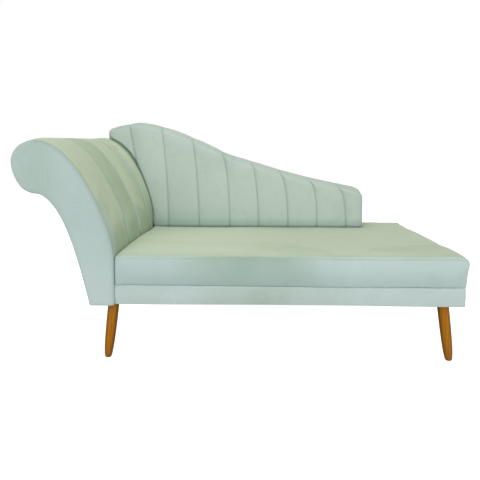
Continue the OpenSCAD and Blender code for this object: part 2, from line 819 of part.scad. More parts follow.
// Lower edge of the pad under a leaning seam, by repeated steps
function lean_floor(x, a, top, z, n) = n == 0 ? z
    : lean_floor(x, a, top, back_floor(x - a * lean(top - z)), n - 1);

function back_ring(x, a, f) = let (
        zt = crown(x - a), zb = lean_floor(x, a, zt, back_floor(x), 4),
        corner = x < lap_edge_x ? min(corner_puff, 0.5 * (zt - zb)) : 1,
        base = max(zb + corner, seat_z - 4), rise = min(base_rise, 0.4 * (zt - base)),
        r = min(crown_r, 0.45 * (zt - base)), p = back_y - back_puff * f, rear = frame_d / 2 - gap,
        solid = x - a < lap_x + solid_lap,
        pts = concat(
            [[back_y, zb], [back_y, base], [back_y - 0.7 * back_puff * f, base + rise / 2], [p, base + rise],
                [p, (base + rise + zt - r) / 2], [p, zt - r]],
            [for (t = [30:30:90]) [p + crown_r * (1 - cos(t)), zt - r + r * sin(t)]],
            [for (t = [90:-30:0]) [rear - rear_r * (1 - cos(t)), zt - min(rear_r, r) * (1 - sin(t))]],
            solid ? [[rear, zb], [rear - rear_wall, zb], [back_y + back_pad_t, zb]]
                : [[rear, zt - crown_t], [back_y + back_pad_t, zt - crown_t], [back_y + back_pad_t, zb]]))
    [for (i = [0:len(pts) - 1]) let (q = pts[i], e = i < 9 || i == 15 ? lean(zt - q[1]) : 1)
        [x - a * e, q[0], q[1]]];

// Places of the rings in one channel: a ring on each side of the arm's edge, and the last follows the crown
function ring_cuts(c) = let (
        x0 = back_bounds[c], w = back_bounds[c + 1] - x0, edge = (lap_edge_x - x0) / w, e = 0.0005,
        us = c < len(back_bounds) - 2 ? back_cuts : concat([for (u = back_cuts) if (u < 0.6) u],
            [for (p = crown_line) let (u = (p.x - x0 + seam_lean) / (w + seam_lean))
                if (u > 0.6 && u < 0.99) u], [1]))
    edge < 0 || edge > 1 ? us
    : concat([for (u = us) if (u < edge - e) u], [edge - e, edge + e], [for (u = us) if (u > edge + e) u]);

back_stations = [for (c = [0:len(back_bounds) - 2]) for (u = ring_cuts(c))
    let (a0 = c == 0 ? 0 : seam_lean, a1 = c == len(back_bounds) - 2 ? 0 : seam_lean)
    [back_bounds[c] + u * (back_bounds[c + 1] - back_bounds[c]), a0 + u * (a1 - a0), u == 1 ? 0 : full(u)]];

// Faces across one end of the pad: its front, the turn of its crown and its top
back_caps = [[15, 0, 1, 2, 3, 4, 5, 14], [5, 6, 7, 8, 14], [8, 9, 10, 11, 12, 13, 14]];

module back_pad() {
    color(fabric) loft(reversed([for (s = back_stations) back_ring(s[0], s[1], s[2])]), back_caps);
}

module back_end_boxing() {
    ring = back_ring(core_x1, 0, 0);
    color(fabric) translate([core_x1 + gap, 0, 0]) rotate([90, 0, 90]) linear_extrude(back_x1 - core_x1 - gap)
        polygon(concat([for (i = [0:12]) [ring[i].y, ring[i].z]], [[ring[12].y, cushion_z0]]));
}

module back_rear_cover() {
    color(fabric) upright(panel(core_x0, core_x1, batten_drop, 0), back_cloth_y, frame_d / 2);
}

module back_bolts() {
    color(steel) for (x = back_bolt_x) translate([x, back_bolt_y, rail_z0 + head_room]) {
        cylinder(d = bolt_d, h = rail_z1 - rail_z0 - head_room + back_bolt_l);
        translate([0, 0, -bolt_head_h]) cylinder(d = bolt_head_d, h = bolt_head_h);
    }
}

front_rail();
rear_rail();
arm_end_rail();
open_end_rail();
cross_rails_pair();
corner_blocks();
webbing_ledger();
webbing_long();
webbing_cross();
deck_cloth();
seat_foam();
seat_cushion();
base_border();
dust_cover();
dust_cover_staples();
leg_front_left();
leg_front_right();
leg_rear_left();
leg_rear_right();
leg_plates();
leg_studs();
plate_screws();
arm_bottom_rail();
arm_front_rib();
arm_middle_rib();
arm_rear_rib();
arm_battens();
arm_inner_board();
arm_outer_board();
arm_foam();
arm_pad();
arm_front_facing();
arm_rear_facing();
arm_outside_cover();
arm_bolts();
back_bottom_rail();
back_posts();
back_top_batten();
back_wing_panel();
back_board();
back_foam();
back_pad();
back_end_boxing();
back_rear_cover();
back_bolts();
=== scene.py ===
# A chaise longue with one scrolled arm: padded and sewn covers, turned legs and the frame inside.
# All sizes are in metres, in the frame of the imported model.
import json
import math

import bmesh
import bpy
import numpy as np
from mathutils import Matrix, Vector, noise
from mathutils.geometry import delaunay_2d_cdt


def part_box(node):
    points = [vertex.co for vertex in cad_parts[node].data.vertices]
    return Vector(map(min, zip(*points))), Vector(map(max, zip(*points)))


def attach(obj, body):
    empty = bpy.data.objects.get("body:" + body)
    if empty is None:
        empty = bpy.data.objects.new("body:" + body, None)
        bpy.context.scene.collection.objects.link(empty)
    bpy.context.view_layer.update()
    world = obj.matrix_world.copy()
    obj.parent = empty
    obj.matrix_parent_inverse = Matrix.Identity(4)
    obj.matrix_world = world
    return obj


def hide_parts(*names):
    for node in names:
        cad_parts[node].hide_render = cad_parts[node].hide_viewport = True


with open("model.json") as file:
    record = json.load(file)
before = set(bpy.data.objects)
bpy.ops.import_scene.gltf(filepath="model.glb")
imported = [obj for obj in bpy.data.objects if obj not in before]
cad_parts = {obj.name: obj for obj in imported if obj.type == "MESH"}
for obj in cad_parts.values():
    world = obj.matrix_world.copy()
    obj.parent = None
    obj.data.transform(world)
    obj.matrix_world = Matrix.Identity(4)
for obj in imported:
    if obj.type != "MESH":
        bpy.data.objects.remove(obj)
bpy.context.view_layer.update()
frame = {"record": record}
scene = bpy.context.scene


# Paths in a plane

def cubic(a, b, c, d, n):
    """n + 1 points of a cubic curve."""
    t = np.linspace(0, 1, n + 1)[:, None]
    a, b, c, d = (np.array(p, float) for p in (a, b, c, d))
    return (1 - t) ** 3 * a + 3 * (1 - t) ** 2 * t * b + 3 * (1 - t) * t * t * c + t ** 3 * d


def arc(centre, radius, a0, a1, n):
    """n + 1 points of an arc, angles in degrees."""
    a = np.radians(np.linspace(a0, a1, n + 1))
    return np.array(centre) + radius * np.stack([np.cos(a), np.sin(a)], 1)


def joined(*paths):
    """Paths in a row, without the points that repeat where two meet."""
    p = np.concatenate([np.atleast_2d(np.array(path, float)) for path in paths])
    return p[np.r_[True, np.linalg.norm(np.diff(p, axis=0), axis=1) > 1e-6]]


def lengths(p):
    """How far along the path each of its points is."""
    return np.r_[0, np.cumsum(np.linalg.norm(np.diff(p, axis=0), axis=1))]


def at_lengths(p, t):
    """The path's points at lengths t along it."""
    s = lengths(p)
    return np.stack([np.interp(t, s, p[:, k]) for k in range(p.shape[1])], 1)


def resampled(p, step, least=2):
    """The same path with points about step apart, in no fewer than least steps."""
    long = lengths(p)[-1]
    return at_lengths(p, np.linspace(0, long, max(least, int(round(long / step))) + 1))


def right_of(p):
    """Unit normals on the right of an open path."""
    d = np.gradient(p, axis=0)
    n = np.stack([d[:, 1], -d[:, 0]], 1)
    return n / np.linalg.norm(n, axis=1, keepdims=True)


def moved(p, d):
    """A path moved to its right by d."""
    return p + np.reshape(d, (-1, 1)) * right_of(p)


def rounded(poly, radius, step, sharp=25):
    """A closed polygon with arcs at its sharp corners, resampled at step."""
    poly = joined(poly)
    if np.linalg.norm(poly[0] - poly[-1]) < 1e-6:
        poly = poly[:-1]
    n, out = len(poly), []
    for i in range(n):
        a, b, c = poly[i - 1], poly[i], poly[(i + 1) % n]
        u, v = (a - b) / np.linalg.norm(a - b), (c - b) / np.linalg.norm(c - b)
        turn = math.degrees(math.pi - math.acos(max(-1, min(1, float(u @ v)))))
        if turn < sharp:
            out.append(b[None])
            continue
        r = radius[i] if hasattr(radius, "__len__") else radius
        shorter = min(np.linalg.norm(a - b), np.linalg.norm(c - b))
        cut = min(r * math.tan(math.radians(turn / 2)), 0.45 * shorter)
        p, q = b + u * cut, b + v * cut
        t = np.linspace(0, 1, 7)[:, None]
        out.append((1 - t) ** 2 * p + 2 * (1 - t) * t * b + t * t * q)
    return resampled(np.concatenate(out + [out[0][:1]]), step, 8)[:-1]


def outward(p):
    """Outward unit normals of a closed counter-clockwise polygon."""
    d = np.roll(p, -1, 0) - np.roll(p, 1, 0)
    n = np.stack([d[:, 1], -d[:, 0]], 1)
    return n / np.linalg.norm(n, axis=1, keepdims=True)


def drawn_in(p, inset):
    """A closed outline moved inwards in small steps, its points kept evenly spread."""
    inset = np.broadcast_to(np.reshape(inset, (-1, 1)), (len(p), 1))
    steps = max(1, int(np.ceil(np.abs(inset).max() / 0.0012)))
    for _ in range(steps):
        n = outward(p)
        p = p - inset / steps * n
        t = np.stack([-n[:, 1], n[:, 0]], 1)
        for _ in range(2):
            pull = (np.roll(p, 1, 0) + np.roll(p, -1, 0)) / 2 - p
            p = p + 0.5 * np.sum(pull * t, 1, keepdims=True) * t
    return p


def anticlockwise(p):
    x, y = p[:, 0], p[:, 1]
    area = np.sum(x * np.roll(y, -1) - y * np.roll(x, -1))
    return p if area > 0 else p[::-1]


def smooth(t):
    """0 below 0, 1 above 1 and smooth between them."""
    t = np.clip(t, 0, 1)
    return t * t * (3 - 2 * t)


# Meshes

def linked(name, data):
    """A new object in the scene."""
    obj = bpy.data.objects.new(name, data)
    scene.collection.objects.link(obj)
    return obj


def mesh_piece(name, verts, faces, smooth_shade=True):
    """A new object from points and faces, with its normals turned outwards."""
    mesh = bpy.data.meshes.new(name)
    mesh.from_pydata([tuple(map(float, v)) for v in verts], [], [tuple(map(int, f)) for f in faces])
    bm = bmesh.new()
    bm.from_mesh(mesh)
    bmesh.ops.remove_doubles(bm, verts=bm.verts, dist=1e-6)
    bmesh.ops.recalc_face_normals(bm, faces=bm.faces)
    bm.to_mesh(mesh)
    bm.free()
    for p in mesh.polygons:
        p.use_smooth = smooth_shade
    return linked(name, mesh)


def grid_faces(rows, cols, wrap=False):
    """Quads between rows of points; wrap joins the last column to the first."""
    out = []
    for j in range(rows - 1):
        here, above = j * cols, (j + 1) * cols
        for i in range(cols if wrap else cols - 1):
            k = (i + 1) % cols
            out.append((here + i, here + k, above + k, above + i))
    return out


def band(name, outer, inner, ys):
    """A strip of cloth or wadding across ys, from its outer to its inner path, closed at both ends.

    outer holds a path for each of the ys.
    """
    rings = [standing(np.concatenate([path, inner[::-1]]), y) for path, y in zip(outer, ys)]
    cols = len(rings[0])
    faces = grid_faces(len(ys), cols, wrap=True)
    for base in (0, (len(ys) - 1) * cols):
        last = base + cols - 1
        faces += [(base + i, base + i + 1, last - 1 - i, last - i) for i in range(cols // 2 - 1)]
    return mesh_piece(name, np.concatenate(rings), faces)


def filled(ring, step):
    """Triangles that fill a closed outline with evenly spread points inside it: points and faces."""
    lo, hi = ring.min(0), ring.max(0)
    xs = np.arange(lo[0] + step / 2, hi[0], step)
    ys = np.arange(lo[1] + step / 2, hi[1], step * 0.87)
    pts = np.array([[x + (step / 2 if j % 2 else 0), y] for j, y in enumerate(ys) for x in xs])
    inside = np.zeros(len(pts), bool)
    near = np.full(len(pts), 1e9)
    for a, b in zip(ring, np.roll(ring, -1, 0)):
        crosses = (a[1] > pts[:, 1]) != (b[1] > pts[:, 1])
        with np.errstate(divide="ignore", invalid="ignore"):
            at = a[0] + (pts[:, 1] - a[1]) * (b[0] - a[0]) / (b[1] - a[1])
        inside ^= crosses & (pts[:, 0] < at)
        near = np.minimum(near, np.hypot(pts[:, 0] - a[0], pts[:, 1] - a[1]))
    pts = pts[inside & (near > 0.62 * step)]
    n = len(ring)
    verts = [Vector(p) for p in ring] + [Vector(p) for p in pts]
    edges = [(i, (i + 1) % n) for i in range(n)]
    made = delaunay_2d_cdt(verts, edges, [], 1, 1e-7)
    return np.array([tuple(v) for v in made[0]]), [list(f) for f in made[2]]


def upholstered(name, outline, section, place, step):
    """A padded form: an edge section swept round a closed outline, with its faces filled.

    section holds (inset, height) from the back edge to the front edge. place turns outline points
    and a height into points in space.
    """
    outline = anticlockwise(outline)
    n = len(outline)
    rings, drawn, ring = [], 0, outline
    for inset, height in section:
        ring = drawn_in(ring, inset - drawn) if np.any(inset != drawn) else ring
        drawn = inset
        rings.append(ring)
    verts = [place(r, np.full(n, h)) for r, (_, h) in zip(rings, section)]
    faces = grid_faces(len(section), n, wrap=True)
    base = n * len(section)
    for ring, height, flip in ((rings[-1], section[-1][1], False), (rings[0], section[0][1], True)):
        pts, tris = filled(ring, step)
        verts.append(place(pts, np.full(len(pts), height)))
        faces += [[base + i for i in (reversed(f) if flip else f)] for f in tris]
        base += len(pts)
    return mesh_piece(name, np.concatenate(verts), faces)


def lying(p, h):
    """An outline in X and Y at height h."""
    return np.c_[p, h]


def standing(p, y):
    """An outline in X and Z at y."""
    return np.c_[p[:, 0], np.broadcast_to(y, len(p)), p[:, 1]]


def coords(obj):
    co = np.zeros(len(obj.data.vertices) * 3)
    obj.data.vertices.foreach_get("co", co)
    return co.reshape(-1, 3)


def set_coords(obj, co):
    obj.data.vertices.foreach_set("co", np.asarray(co, np.float32).ravel())
    obj.data.update()


def vertex_normals(obj):
    return np.array([tuple(v.normal) for v in obj.data.vertices])


def wander(points, scale, seed):
    """Smooth noise from -1 to 1 at each point."""
    return np.array([noise.noise(Vector((p[0] * scale + seed, p[1] * scale, p[2] * scale))) for p in points])


# Driving dimensions, from the frame

GAP = 0.0003  # between two pieces that touch
facing_lo, facing_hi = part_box("arm_front_facing")
cushion_lo, cushion_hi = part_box("seat_cushion")
border_lo, border_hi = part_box("base_border")
back_lo, back_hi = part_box("back_pad")
cover_lo, cover_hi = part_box("back_rear_cover")
boxing_lo, boxing_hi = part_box("back_end_boxing")

seat_crown = 0.006
end_bulge = 0.015  # the cushion past the frame at the open end
roll_r = 0.090  # the scroll
seat_x0 = facing_hi.x + GAP
seat_x1 = border_hi.x
seat_z = cushion_hi.z - seat_crown
roll_c = np.array([facing_lo.x + roll_r, facing_hi.z - roll_r])
arm_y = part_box("arm_pad")[1].y
facing_y = -facing_lo.y
facing_t = facing_hi.y - facing_lo.y
arm_seams = [-0.138, 0.008, 0.150]
arm_bounds = [-arm_y, *arm_seams, arm_y]
arm_puff = 0.014  # the arm's channels above its profile
corner_puff = 0.032  # the room that the arm's cover takes beside the back
arm_pad_t = 0.022
cloth_t = 0.003
arm_pad_z0 = 0.2516  # the arm pad's foot, beside the seat frame
out_of_seat = seat_z - 0.004  # where the arm's and the back's covers come out of the seat

# Arm profile in X and Z: up from the seat edge, over the crown, round the scroll and down to the foot
arm_foot = np.array([facing_hi.x - 0.0918, border_lo.z])
arm_inner = cubic([seat_x0 - GAP, seat_z], [seat_x0 - 0.015, seat_z + 0.128],
                  roll_c + [0.129, roll_r], roll_c + [0, roll_r], 60)
# how much further out than its round the scroll stands, at each angle
scroll_angles = [90, 104, 116, 128, 140, 152, 164, 176, 188, 200, 212, 224, 236, 248, 260, 270]
scroll_more = np.array([1, 2.5, 5, 7.5, 8, 7.7, 5.5, 2, -0.5, -2.2, -1.8, 1.2, 3.3, 3.9, 3.3, 3.3]) / 1000


def scroll(a0, a1, n):
    """Part of the scroll's outline, which isn't quite round."""
    a = np.linspace(a0, a1, n + 1)
    r = roll_r + np.interp(a, scroll_angles, scroll_more)
    return roll_c + np.c_[r * np.cos(np.radians(a)), r * np.sin(np.radians(a))]


arm_roll = scroll(90, 255, 40)
under_scroll = scroll(256, 270, 4)
arm_outer = joined(under_scroll, cubic(under_scroll[-1], roll_c + [0.0956, -0.1262],
                                       arm_foot + [-0.0294, 0.1164], arm_foot, 50))

# Crown of the backrest in X and Z: its lap over the arm, the peak, the sweep and the low end
lap_x = back_lo.x - 0.0005
lap_r = 0.030
arm_top = facing_hi.z + arm_puff
peak = np.array([lap_x + 0.155, back_hi.z])
back_x1 = boxing_hi.x
low = np.array([back_x1 - 0.039, seat_z + 0.193])
end_low = low + [0.039, -0.054]
lap_top = np.array([lap_x + lap_r, arm_top + 0.052])
crown_line = joined(arc(lap_top - [0, lap_r], lap_r, 180, 105, 12),
                    cubic(lap_top, lap_top + [0.038, 0.014], peak - [0.070, 0.004], peak, 24),
                    cubic(peak, peak + [0.236, -0.018], low + [-0.645, 0.115], low, 90),
                    cubic(low, low + [0.026, -0.006], end_low + [0, 0.032], end_low, 24))
back_puff = 0.012  # the back's channels in front of its seams
back_y = back_lo.y + back_puff
back_rear = back_hi.y
back_pad_t = 0.030
crown_t = 0.028  # the pad's thickness over the crown, and its two roundings
crown_r = 0.034
rear_r = 0.024
cover_in = crown_t + 0.0009
core_x1 = back_hi.x
seam_x0 = lap_x + 0.152
back_pitch = 0.142
# the back's seams: how far each stands from an even pitch, how far it leans and how deep that reaches
seam_shift = np.array([27.3, -1.5, 6.1, 9.6, 8.7, 7.4, 3.7, 0.9]) / 1000
seam_lean = np.array([72, 30, 32.5, 34, 33, 43, 40, 44]) / 1000
seam_reach = np.array([360, 200, 190, 110, 120, 80, 58, 58]) / 1000
back_seams = seam_x0 + back_pitch * np.arange(len(seam_shift)) + seam_shift
back_bounds = [lap_x + 0.0005, *back_seams, core_x1]
# where the back's pad and its rear cover begin, beside the arm
lap_edge = moved(arm_inner, arm_puff + 0.0015)
lap_edge_x = lap_edge[0, 0]
tail_x0 = back_x1 + GAP
rear_x0 = lap_x + 0.0308


def crown(x):
    """Height of the backrest's sewn crown at x."""
    return np.interp(x, crown_line[:, 0], crown_line[:, 1])


def crown_seen(x):
    """The padded crown, which sags a little near the middle and beside the arm."""
    at_middle = 0.0085 * np.exp(-((x + 0.070) / 0.080) ** 2)
    at_arm = 0.003 * np.exp(-((x + 0.565) / 0.03) ** 2)
    return crown(x) - at_middle - at_arm


def back_floor(x):
    """Lower edge of the backrest at x: over the arm, then down to the seat frame."""
    x = np.asarray(x, float)
    line = lap_edge[::-1]
    over_arm = np.minimum(arm_top + 0.0015, np.interp(x, line[:, 0], line[:, 1]))
    return np.where(x > lap_edge_x, cushion_lo.z, over_arm)


def rear_floor(x):
    """Lower edge of the rear cover at x, which comes close to the arm's thin rim."""
    x = np.asarray(x, float)
    line = moved(arm_inner, 0.0040)[::-1]
    over_arm = np.minimum(facing_hi.z + 0.0055, np.interp(x, line[:, 0], line[:, 1]))
    return np.where(x > line[-1, 0], cushion_lo.z, over_arm)


# Camera, fitted to the photograph: place, turn and focal length in pixels of a 480 pixel frame

PHOTO = 480
camera_place = Vector((0.0344, -1.7517, 0.7866))
camera_yaw, camera_pitch, camera_roll = -0.0191, 0.0763, 0.0008
focal_px, middle_px = 412.56, (242.30, 173.29)


def make_camera():
    data = bpy.data.cameras.new("camera")
    data.sensor_width = 36
    data.lens = focal_px / PHOTO * data.sensor_width
    data.shift_x = (PHOTO / 2 - middle_px[0]) / PHOTO
    data.shift_y = (middle_px[1] - PHOTO / 2) / PHOTO
    data.clip_start, data.clip_end = 0.05, 60
    cy, sy = math.cos(camera_yaw), math.sin(camera_yaw)
    cp, sp = math.cos(camera_pitch), math.sin(camera_pitch)
    ahead = Vector((sy * cp, cy * cp, -sp))
    right = Vector((cy, -sy, 0))
    up = right.cross(ahead)
    cr, sr = math.cos(camera_roll), math.sin(camera_roll)
    right, up = cr * right + sr * up, cr * up - sr * right
    scene.camera = linked("camera", data)
    scene.camera.matrix_world = Matrix((
        (right.x, up.x, -ahead.x, camera_place.x), (right.y, up.y, -ahead.y, camera_place.y),
        (right.z, up.z, -ahead.z, camera_place.z), (0, 0, 0, 1)))


def area_lamp(name, place, target, size, power):
    data = bpy.data.lights.new(name, "AREA")
    data.shape, data.size, data.energy = "SQUARE", size, power
    obj = linked(name, data)
    obj.location = place
    obj.rotation_euler = (Vector(target) - Vector(place)).to_track_quat("-Z", "Y").to_euler()


def wired(tree, *pairs):
    """Join each pair of sockets."""
    for start, end in pairs:
        tree.links.new(start, end)


def make_studio():
    """White surroundings that light the piece softly, a white floor that keeps its shadow, three lamps."""
    scene.view_settings.view_transform = "Standard"
    scene.world = bpy.data.worlds.new("studio")
    scene.world.use_nodes = True
    tree = scene.world.node_tree
    tree.nodes.clear()
    add = tree.nodes.new
    out, mix, rays = add("ShaderNodeOutputWorld"), add("ShaderNodeMixShader"), add("ShaderNodeLightPath")
    soft, white = add("ShaderNodeBackground"), add("ShaderNodeBackground")
    soft.inputs["Color"].default_value = (0.98, 0.99, 1.0, 1)
    soft.inputs["Strength"].default_value = 0.55
    white.inputs["Color"].default_value = (1, 1, 1, 1)
    seen, shown = add("ShaderNodeMath"), add("ShaderNodeMath")
    seen.operation = shown.operation = "MAXIMUM"
    wired(tree, (rays.outputs["Is Camera Ray"], seen.inputs[0]),
          (rays.outputs["Is Glossy Ray"], seen.inputs[1]), (seen.outputs[0], shown.inputs[0]),
          (rays.outputs["Is Transmission Ray"], shown.inputs[1]), (shown.outputs[0], mix.inputs[0]),
          (soft.outputs[0], mix.inputs[1]), (white.outputs[0], mix.inputs[2]),
          (mix.outputs[0], out.inputs[0]))

    floor = mesh_piece("floor", [(-6, -6, 0), (6, -6, 0), (6, 6, 0), (-6, 6, 0)], [(0, 1, 2, 3)], False)
    mat = bpy.data.materials.new("studio_floor")
    mat.use_nodes = True
    tree = mat.node_tree
    tree.nodes.clear()
    add = tree.nodes.new
    out, both, rays = add("ShaderNodeOutputMaterial"), add("ShaderNodeAddShader"), add("ShaderNodeLightPath")
    matt, glow, level = add("ShaderNodeBsdfDiffuse"), add("ShaderNodeEmission"), add("ShaderNodeMath")
    matt.inputs["Color"].default_value = (0.8, 0.8, 0.8, 1)
    level.operation = "MULTIPLY"
    level.inputs[1].default_value = 0.86
    wired(tree, (rays.outputs["Is Camera Ray"], level.inputs[0]),
          (level.outputs[0], glow.inputs["Strength"]), (matt.outputs[0], both.inputs[0]),
          (glow.outputs[0], both.inputs[1]), (both.outputs[0], out.inputs[0]))
    floor.data.materials.append(mat)

    middle = (0, 0, 0.45)
    area_lamp("key", (-1.2, -3.2, 2.4), middle, 2.4, 56)
    area_lamp("fill", (2.2, -2.8, 1.2), middle, 2.0, 24)
    area_lamp("top", (0.2, 0.2, 3.2), middle, 2.4, 24)


# Materials

class Finish:
    """A node material, with short ways to add and join its nodes."""

    def __init__(self, name):
        self.mat = bpy.data.materials.new(name)
        self.mat.use_nodes = True
        self.nt = self.mat.node_tree
        self.nt.nodes.clear()
        out = self.nt.nodes.new("ShaderNodeOutputMaterial")
        self.bsdf = self.nt.nodes.new("ShaderNodeBsdfPrincipled")
        self.nt.links.new(self.bsdf.outputs[0], out.inputs[0])
        place = self.nt.nodes.new("ShaderNodeTexCoord")
        self.object = place.outputs["Object"]
        self.normal = place.outputs["Normal"]

    def feed(self, socket, value):
        if isinstance(value, (int, float)):
            socket.default_value = value
        elif isinstance(value, tuple):
            socket.default_value = value if len(value) == len(socket.default_value) else (*value, 1)
        else:
            self.nt.links.new(value, socket)

    def node(self, kind, **values):
        """A new node with its inputs fed; a space in an input's name is written as a low line."""
        n = self.nt.nodes.new("ShaderNode" + kind)
        for key, value in values.items():
            self.feed(n.inputs[key.replace("_", " ")], value)
        return n

    def math(self, op, *values, clamp=False):
        n = self.nt.nodes.new("ShaderNodeMath")
        n.operation, n.use_clamp = op, clamp
        for socket, value in zip(n.inputs, values):
            self.feed(socket, value)
        return n.outputs[0]

    def times(self, a, b, clamp=False):
        return self.math("MULTIPLY", a, b, clamp=clamp)

    def times_plus(self, a, b, c):
        return self.math("MULTIPLY_ADD", a, b, c)

    def plus(self, a, b):
        return self.math("ADD", a, b)

    def apart(self, a, b):
        """How far a and b are from each other."""
        return self.math("ABSOLUTE", self.math("SUBTRACT", a, b))

    def attribute(self, name):
        n = self.nt.nodes.new("ShaderNodeAttribute")
        n.attribute_name = name
        return n.outputs["Fac"]

    def axes(self, vector):
        return self.node("SeparateXYZ", Vector=vector).outputs

    def turned(self, scale=(1, 1, 1), turn=(0, 0, 0), shift=(0, 0, 0)):
        return self.node("Mapping", Vector=self.object, Location=shift, Rotation=turn, Scale=scale).outputs[0]

    def noise(self, scale, detail=2.0, distortion=0.0, vector=None):
        return self.node("TexNoise", Vector=vector or self.object, Scale=scale, Detail=detail,
                         Distortion=distortion).outputs["Fac"]

    def wave(self, scale, direction="X", distortion=0.0, detail=2.0, detail_scale=1.0, vector=None):
        n = self.node("TexWave", Vector=vector or self.object, Scale=scale, Distortion=distortion,
                      Detail=detail, Detail_Scale=detail_scale)
        n.bands_direction = direction
        return n.outputs["Fac"]

    def ramp(self, value, low, high):
        """0 at low, 1 at high, smooth between them."""
        n = self.node("MapRange", Value=value, From_Min=low, From_Max=high)
        n.interpolation_type = "SMOOTHSTEP"
        return n.outputs["Result"]

    def mix(self, factor, a, b):
        """Colour a, or b where factor is 1."""
        n = self.nt.nodes.new("ShaderNodeMix")
        n.data_type = "RGBA"
        for index, value in ((0, factor), (6, a), (7, b)):
            self.feed(n.inputs[index], value)
        return n.outputs[2]

    def shade(self, colour, value):
        """The colour made lighter or darker by a value near 1."""
        return self.node("HueSaturation", Color=colour, Value=value).outputs[0]

    def bump(self, height, distance, strength):
        n = self.node("Bump", Strength=strength, Distance=distance, Height=height)
        self.nt.links.new(n.outputs[0], self.bsdf.inputs["Normal"])

    def set(self, **values):
        for key, value in values.items():
            self.feed(self.bsdf.inputs[key.replace("_", " ")], value)


def srgb(*levels):
    """Linear colour of an 8-bit one."""
    shares = [level / 255 for level in levels]
    return tuple(c / 12.92 if c <= 0.04045 else ((c + 0.055) / 1.055) ** 2.4 for c in shares)


def velvet(name, cool, warm, deep, turn_over=(0.10, 0.85), sideways=0.75, patches=0.30, brush=(1, 1, 1),
           to_front=0.0, edge=0.0, shadow=None, darker_patch=None, front_lit_band=None, seams=(), shades=(), crease_shade=0.0):
    """Suede-like cloth with brushed patches, its colour painted with light: cooler where it faces the front,
    greener where it faces up.

    edge paints shade on the bend between the two tints. shadow holds a painted shade low down on the cloth
    that faces up, its top ragged: height, its climb towards the rear, and how much. darker_patch is a darker
    patch: its middle in X, half its width, how much and its top. front_lit_band holds two places in Y between
    which the cloth keeps its cool front-lit tint as painted light, and the height where that ends. seams are
    places in Y where the seam grooves get a painted shade. Each of the shades is a colour, how much of it,
    and then axes with the place where it starts and the place where it is whole. crease_shade is how much
    painted shade the cloth gets in creases and along seams, where its own attribute says so.
    """
    f = Finish(name)
    n = f.axes(f.normal)
    at = f.axes(f.object)
    # painted light: the colour turns from the cool tint of front light to the greener tint of top light as
    # the normal turns up and sideways
    lift = f.times_plus(n["X"], sideways, n["Z"])
    if to_front:
        turned_in = f.times(n["Y"], f.ramp(at["Y"], -0.332, -0.314))
        turned_in = f.times(turned_in, f.ramp(at["Y"], 0.190, 0.130))
        lift = f.times_plus(turned_in, to_front, lift)
    warmth = f.ramp(lift, *turn_over)
    # painted light: near the front, below a height, the cloth keeps the cool front-lit tint
    if front_lit_band:
        start, end, ends_at = front_lit_band
        ragged = f.times_plus(f.noise(14.0, 2.0), 0.03, at["Y"])
        front_lit_share = f.times(f.ramp(ragged, end, start), f.ramp(at["Z"], ends_at + 0.05, ends_at - 0.05))
        warmth = f.times(warmth, f.times_plus(front_lit_share, -0.8, 1.0))
    base = f.mix(warmth, cool, warm)
    # painted shade on the bend between the front-lit and the top-lit tints
    if edge:
        bend = f.times(warmth, f.math("SUBTRACT", 1.0, warmth))
        base = f.mix(f.times(bend, edge * 4), base, deep)
    brushed = f.noise(4.5, 3.0, 0.8, f.turned(brush))
    strokes = f.noise(17.0, 2.0, 1.5, f.turned(brush, (0, 0, 0), (0.7, 0.3, 0.1)))
    patch = f.plus(f.times(f.ramp(brushed, 0.46, 0.64), 0.65), f.times(f.ramp(strokes, 0.48, 0.68), 0.35))
    base = f.mix(f.times(patch, f.times_plus(warmth, patches, 0.14), clamp=True), base, deep)
    # a darker patch round a place in X, on the cloth that faces the front, ending at a height
    if darker_patch:
        middle, half, much, top = darker_patch
        away = f.times_plus(f.noise(5.0, 2.0), half * 0.7, f.apart(at["X"], middle))
        amount = f.times(f.ramp(away, half * 1.3, half * 0.3), f.math("SUBTRACT", much, warmth), clamp=True)
        base = f.mix(f.times(amount, f.ramp(at["Z"], top + 0.08, top - 0.08)), base, deep)
    # painted shade low down on the cloth that faces up, its top edge ragged
    if shadow:
        height, climb, much = shadow
        line = f.times_plus(at["Y"], climb, height)
        below = f.math("SUBTRACT", line, at["Z"])
        ragged = f.times_plus(f.noise(12.0, 2.0, 1.0, f.turned((1, 1, 0.4))), 0.10, below)
        shaded_low = f.ramp(ragged, 0.02, 0.09)
        base = f.mix(f.times(shaded_low, f.times(warmth, much)), base, deep)
    # painted shade in each seam's groove
    for place in seams:
        beside = f.apart(at["Y"], place - 0.005)
        base = f.mix(f.times(f.ramp(beside, 0.0066, 0.0014), 0.8), base, sage_crease_shade)
    # bands of colour by place: painted light, painted shade and the cloth's own tone, as listed with each
    # material
    for colour, amount, *bands in shades:
        for axis, start, end in bands:
            amount = f.times(f.ramp(at[axis], start, end), amount)
        base = f.mix(amount, base, colour)
    # painted shade in creases and along seams, as much as the piece's own attribute says
    if crease_shade:
        base = f.mix(f.times(f.attribute("crease_shade_share"), crease_shade), base, sage_crease_shade)
    grain = f.noise(900.0, 2.0)
    f.set(Base_Color=f.shade(base, f.times_plus(grain, 0.22, 0.89)))
    fibres = f.noise(2200.0, 1.0)
    f.bump(f.times_plus(fibres, 0.4, grain), 0.0004, 0.45)
    f.set(Roughness=0.92, Sheen_Weight=0.12, Sheen_Roughness=0.5, Specular_IOR_Level=0.15,
          Sheen_Tint=(0.80, 0.92, 0.86, 1))
    return f.mat


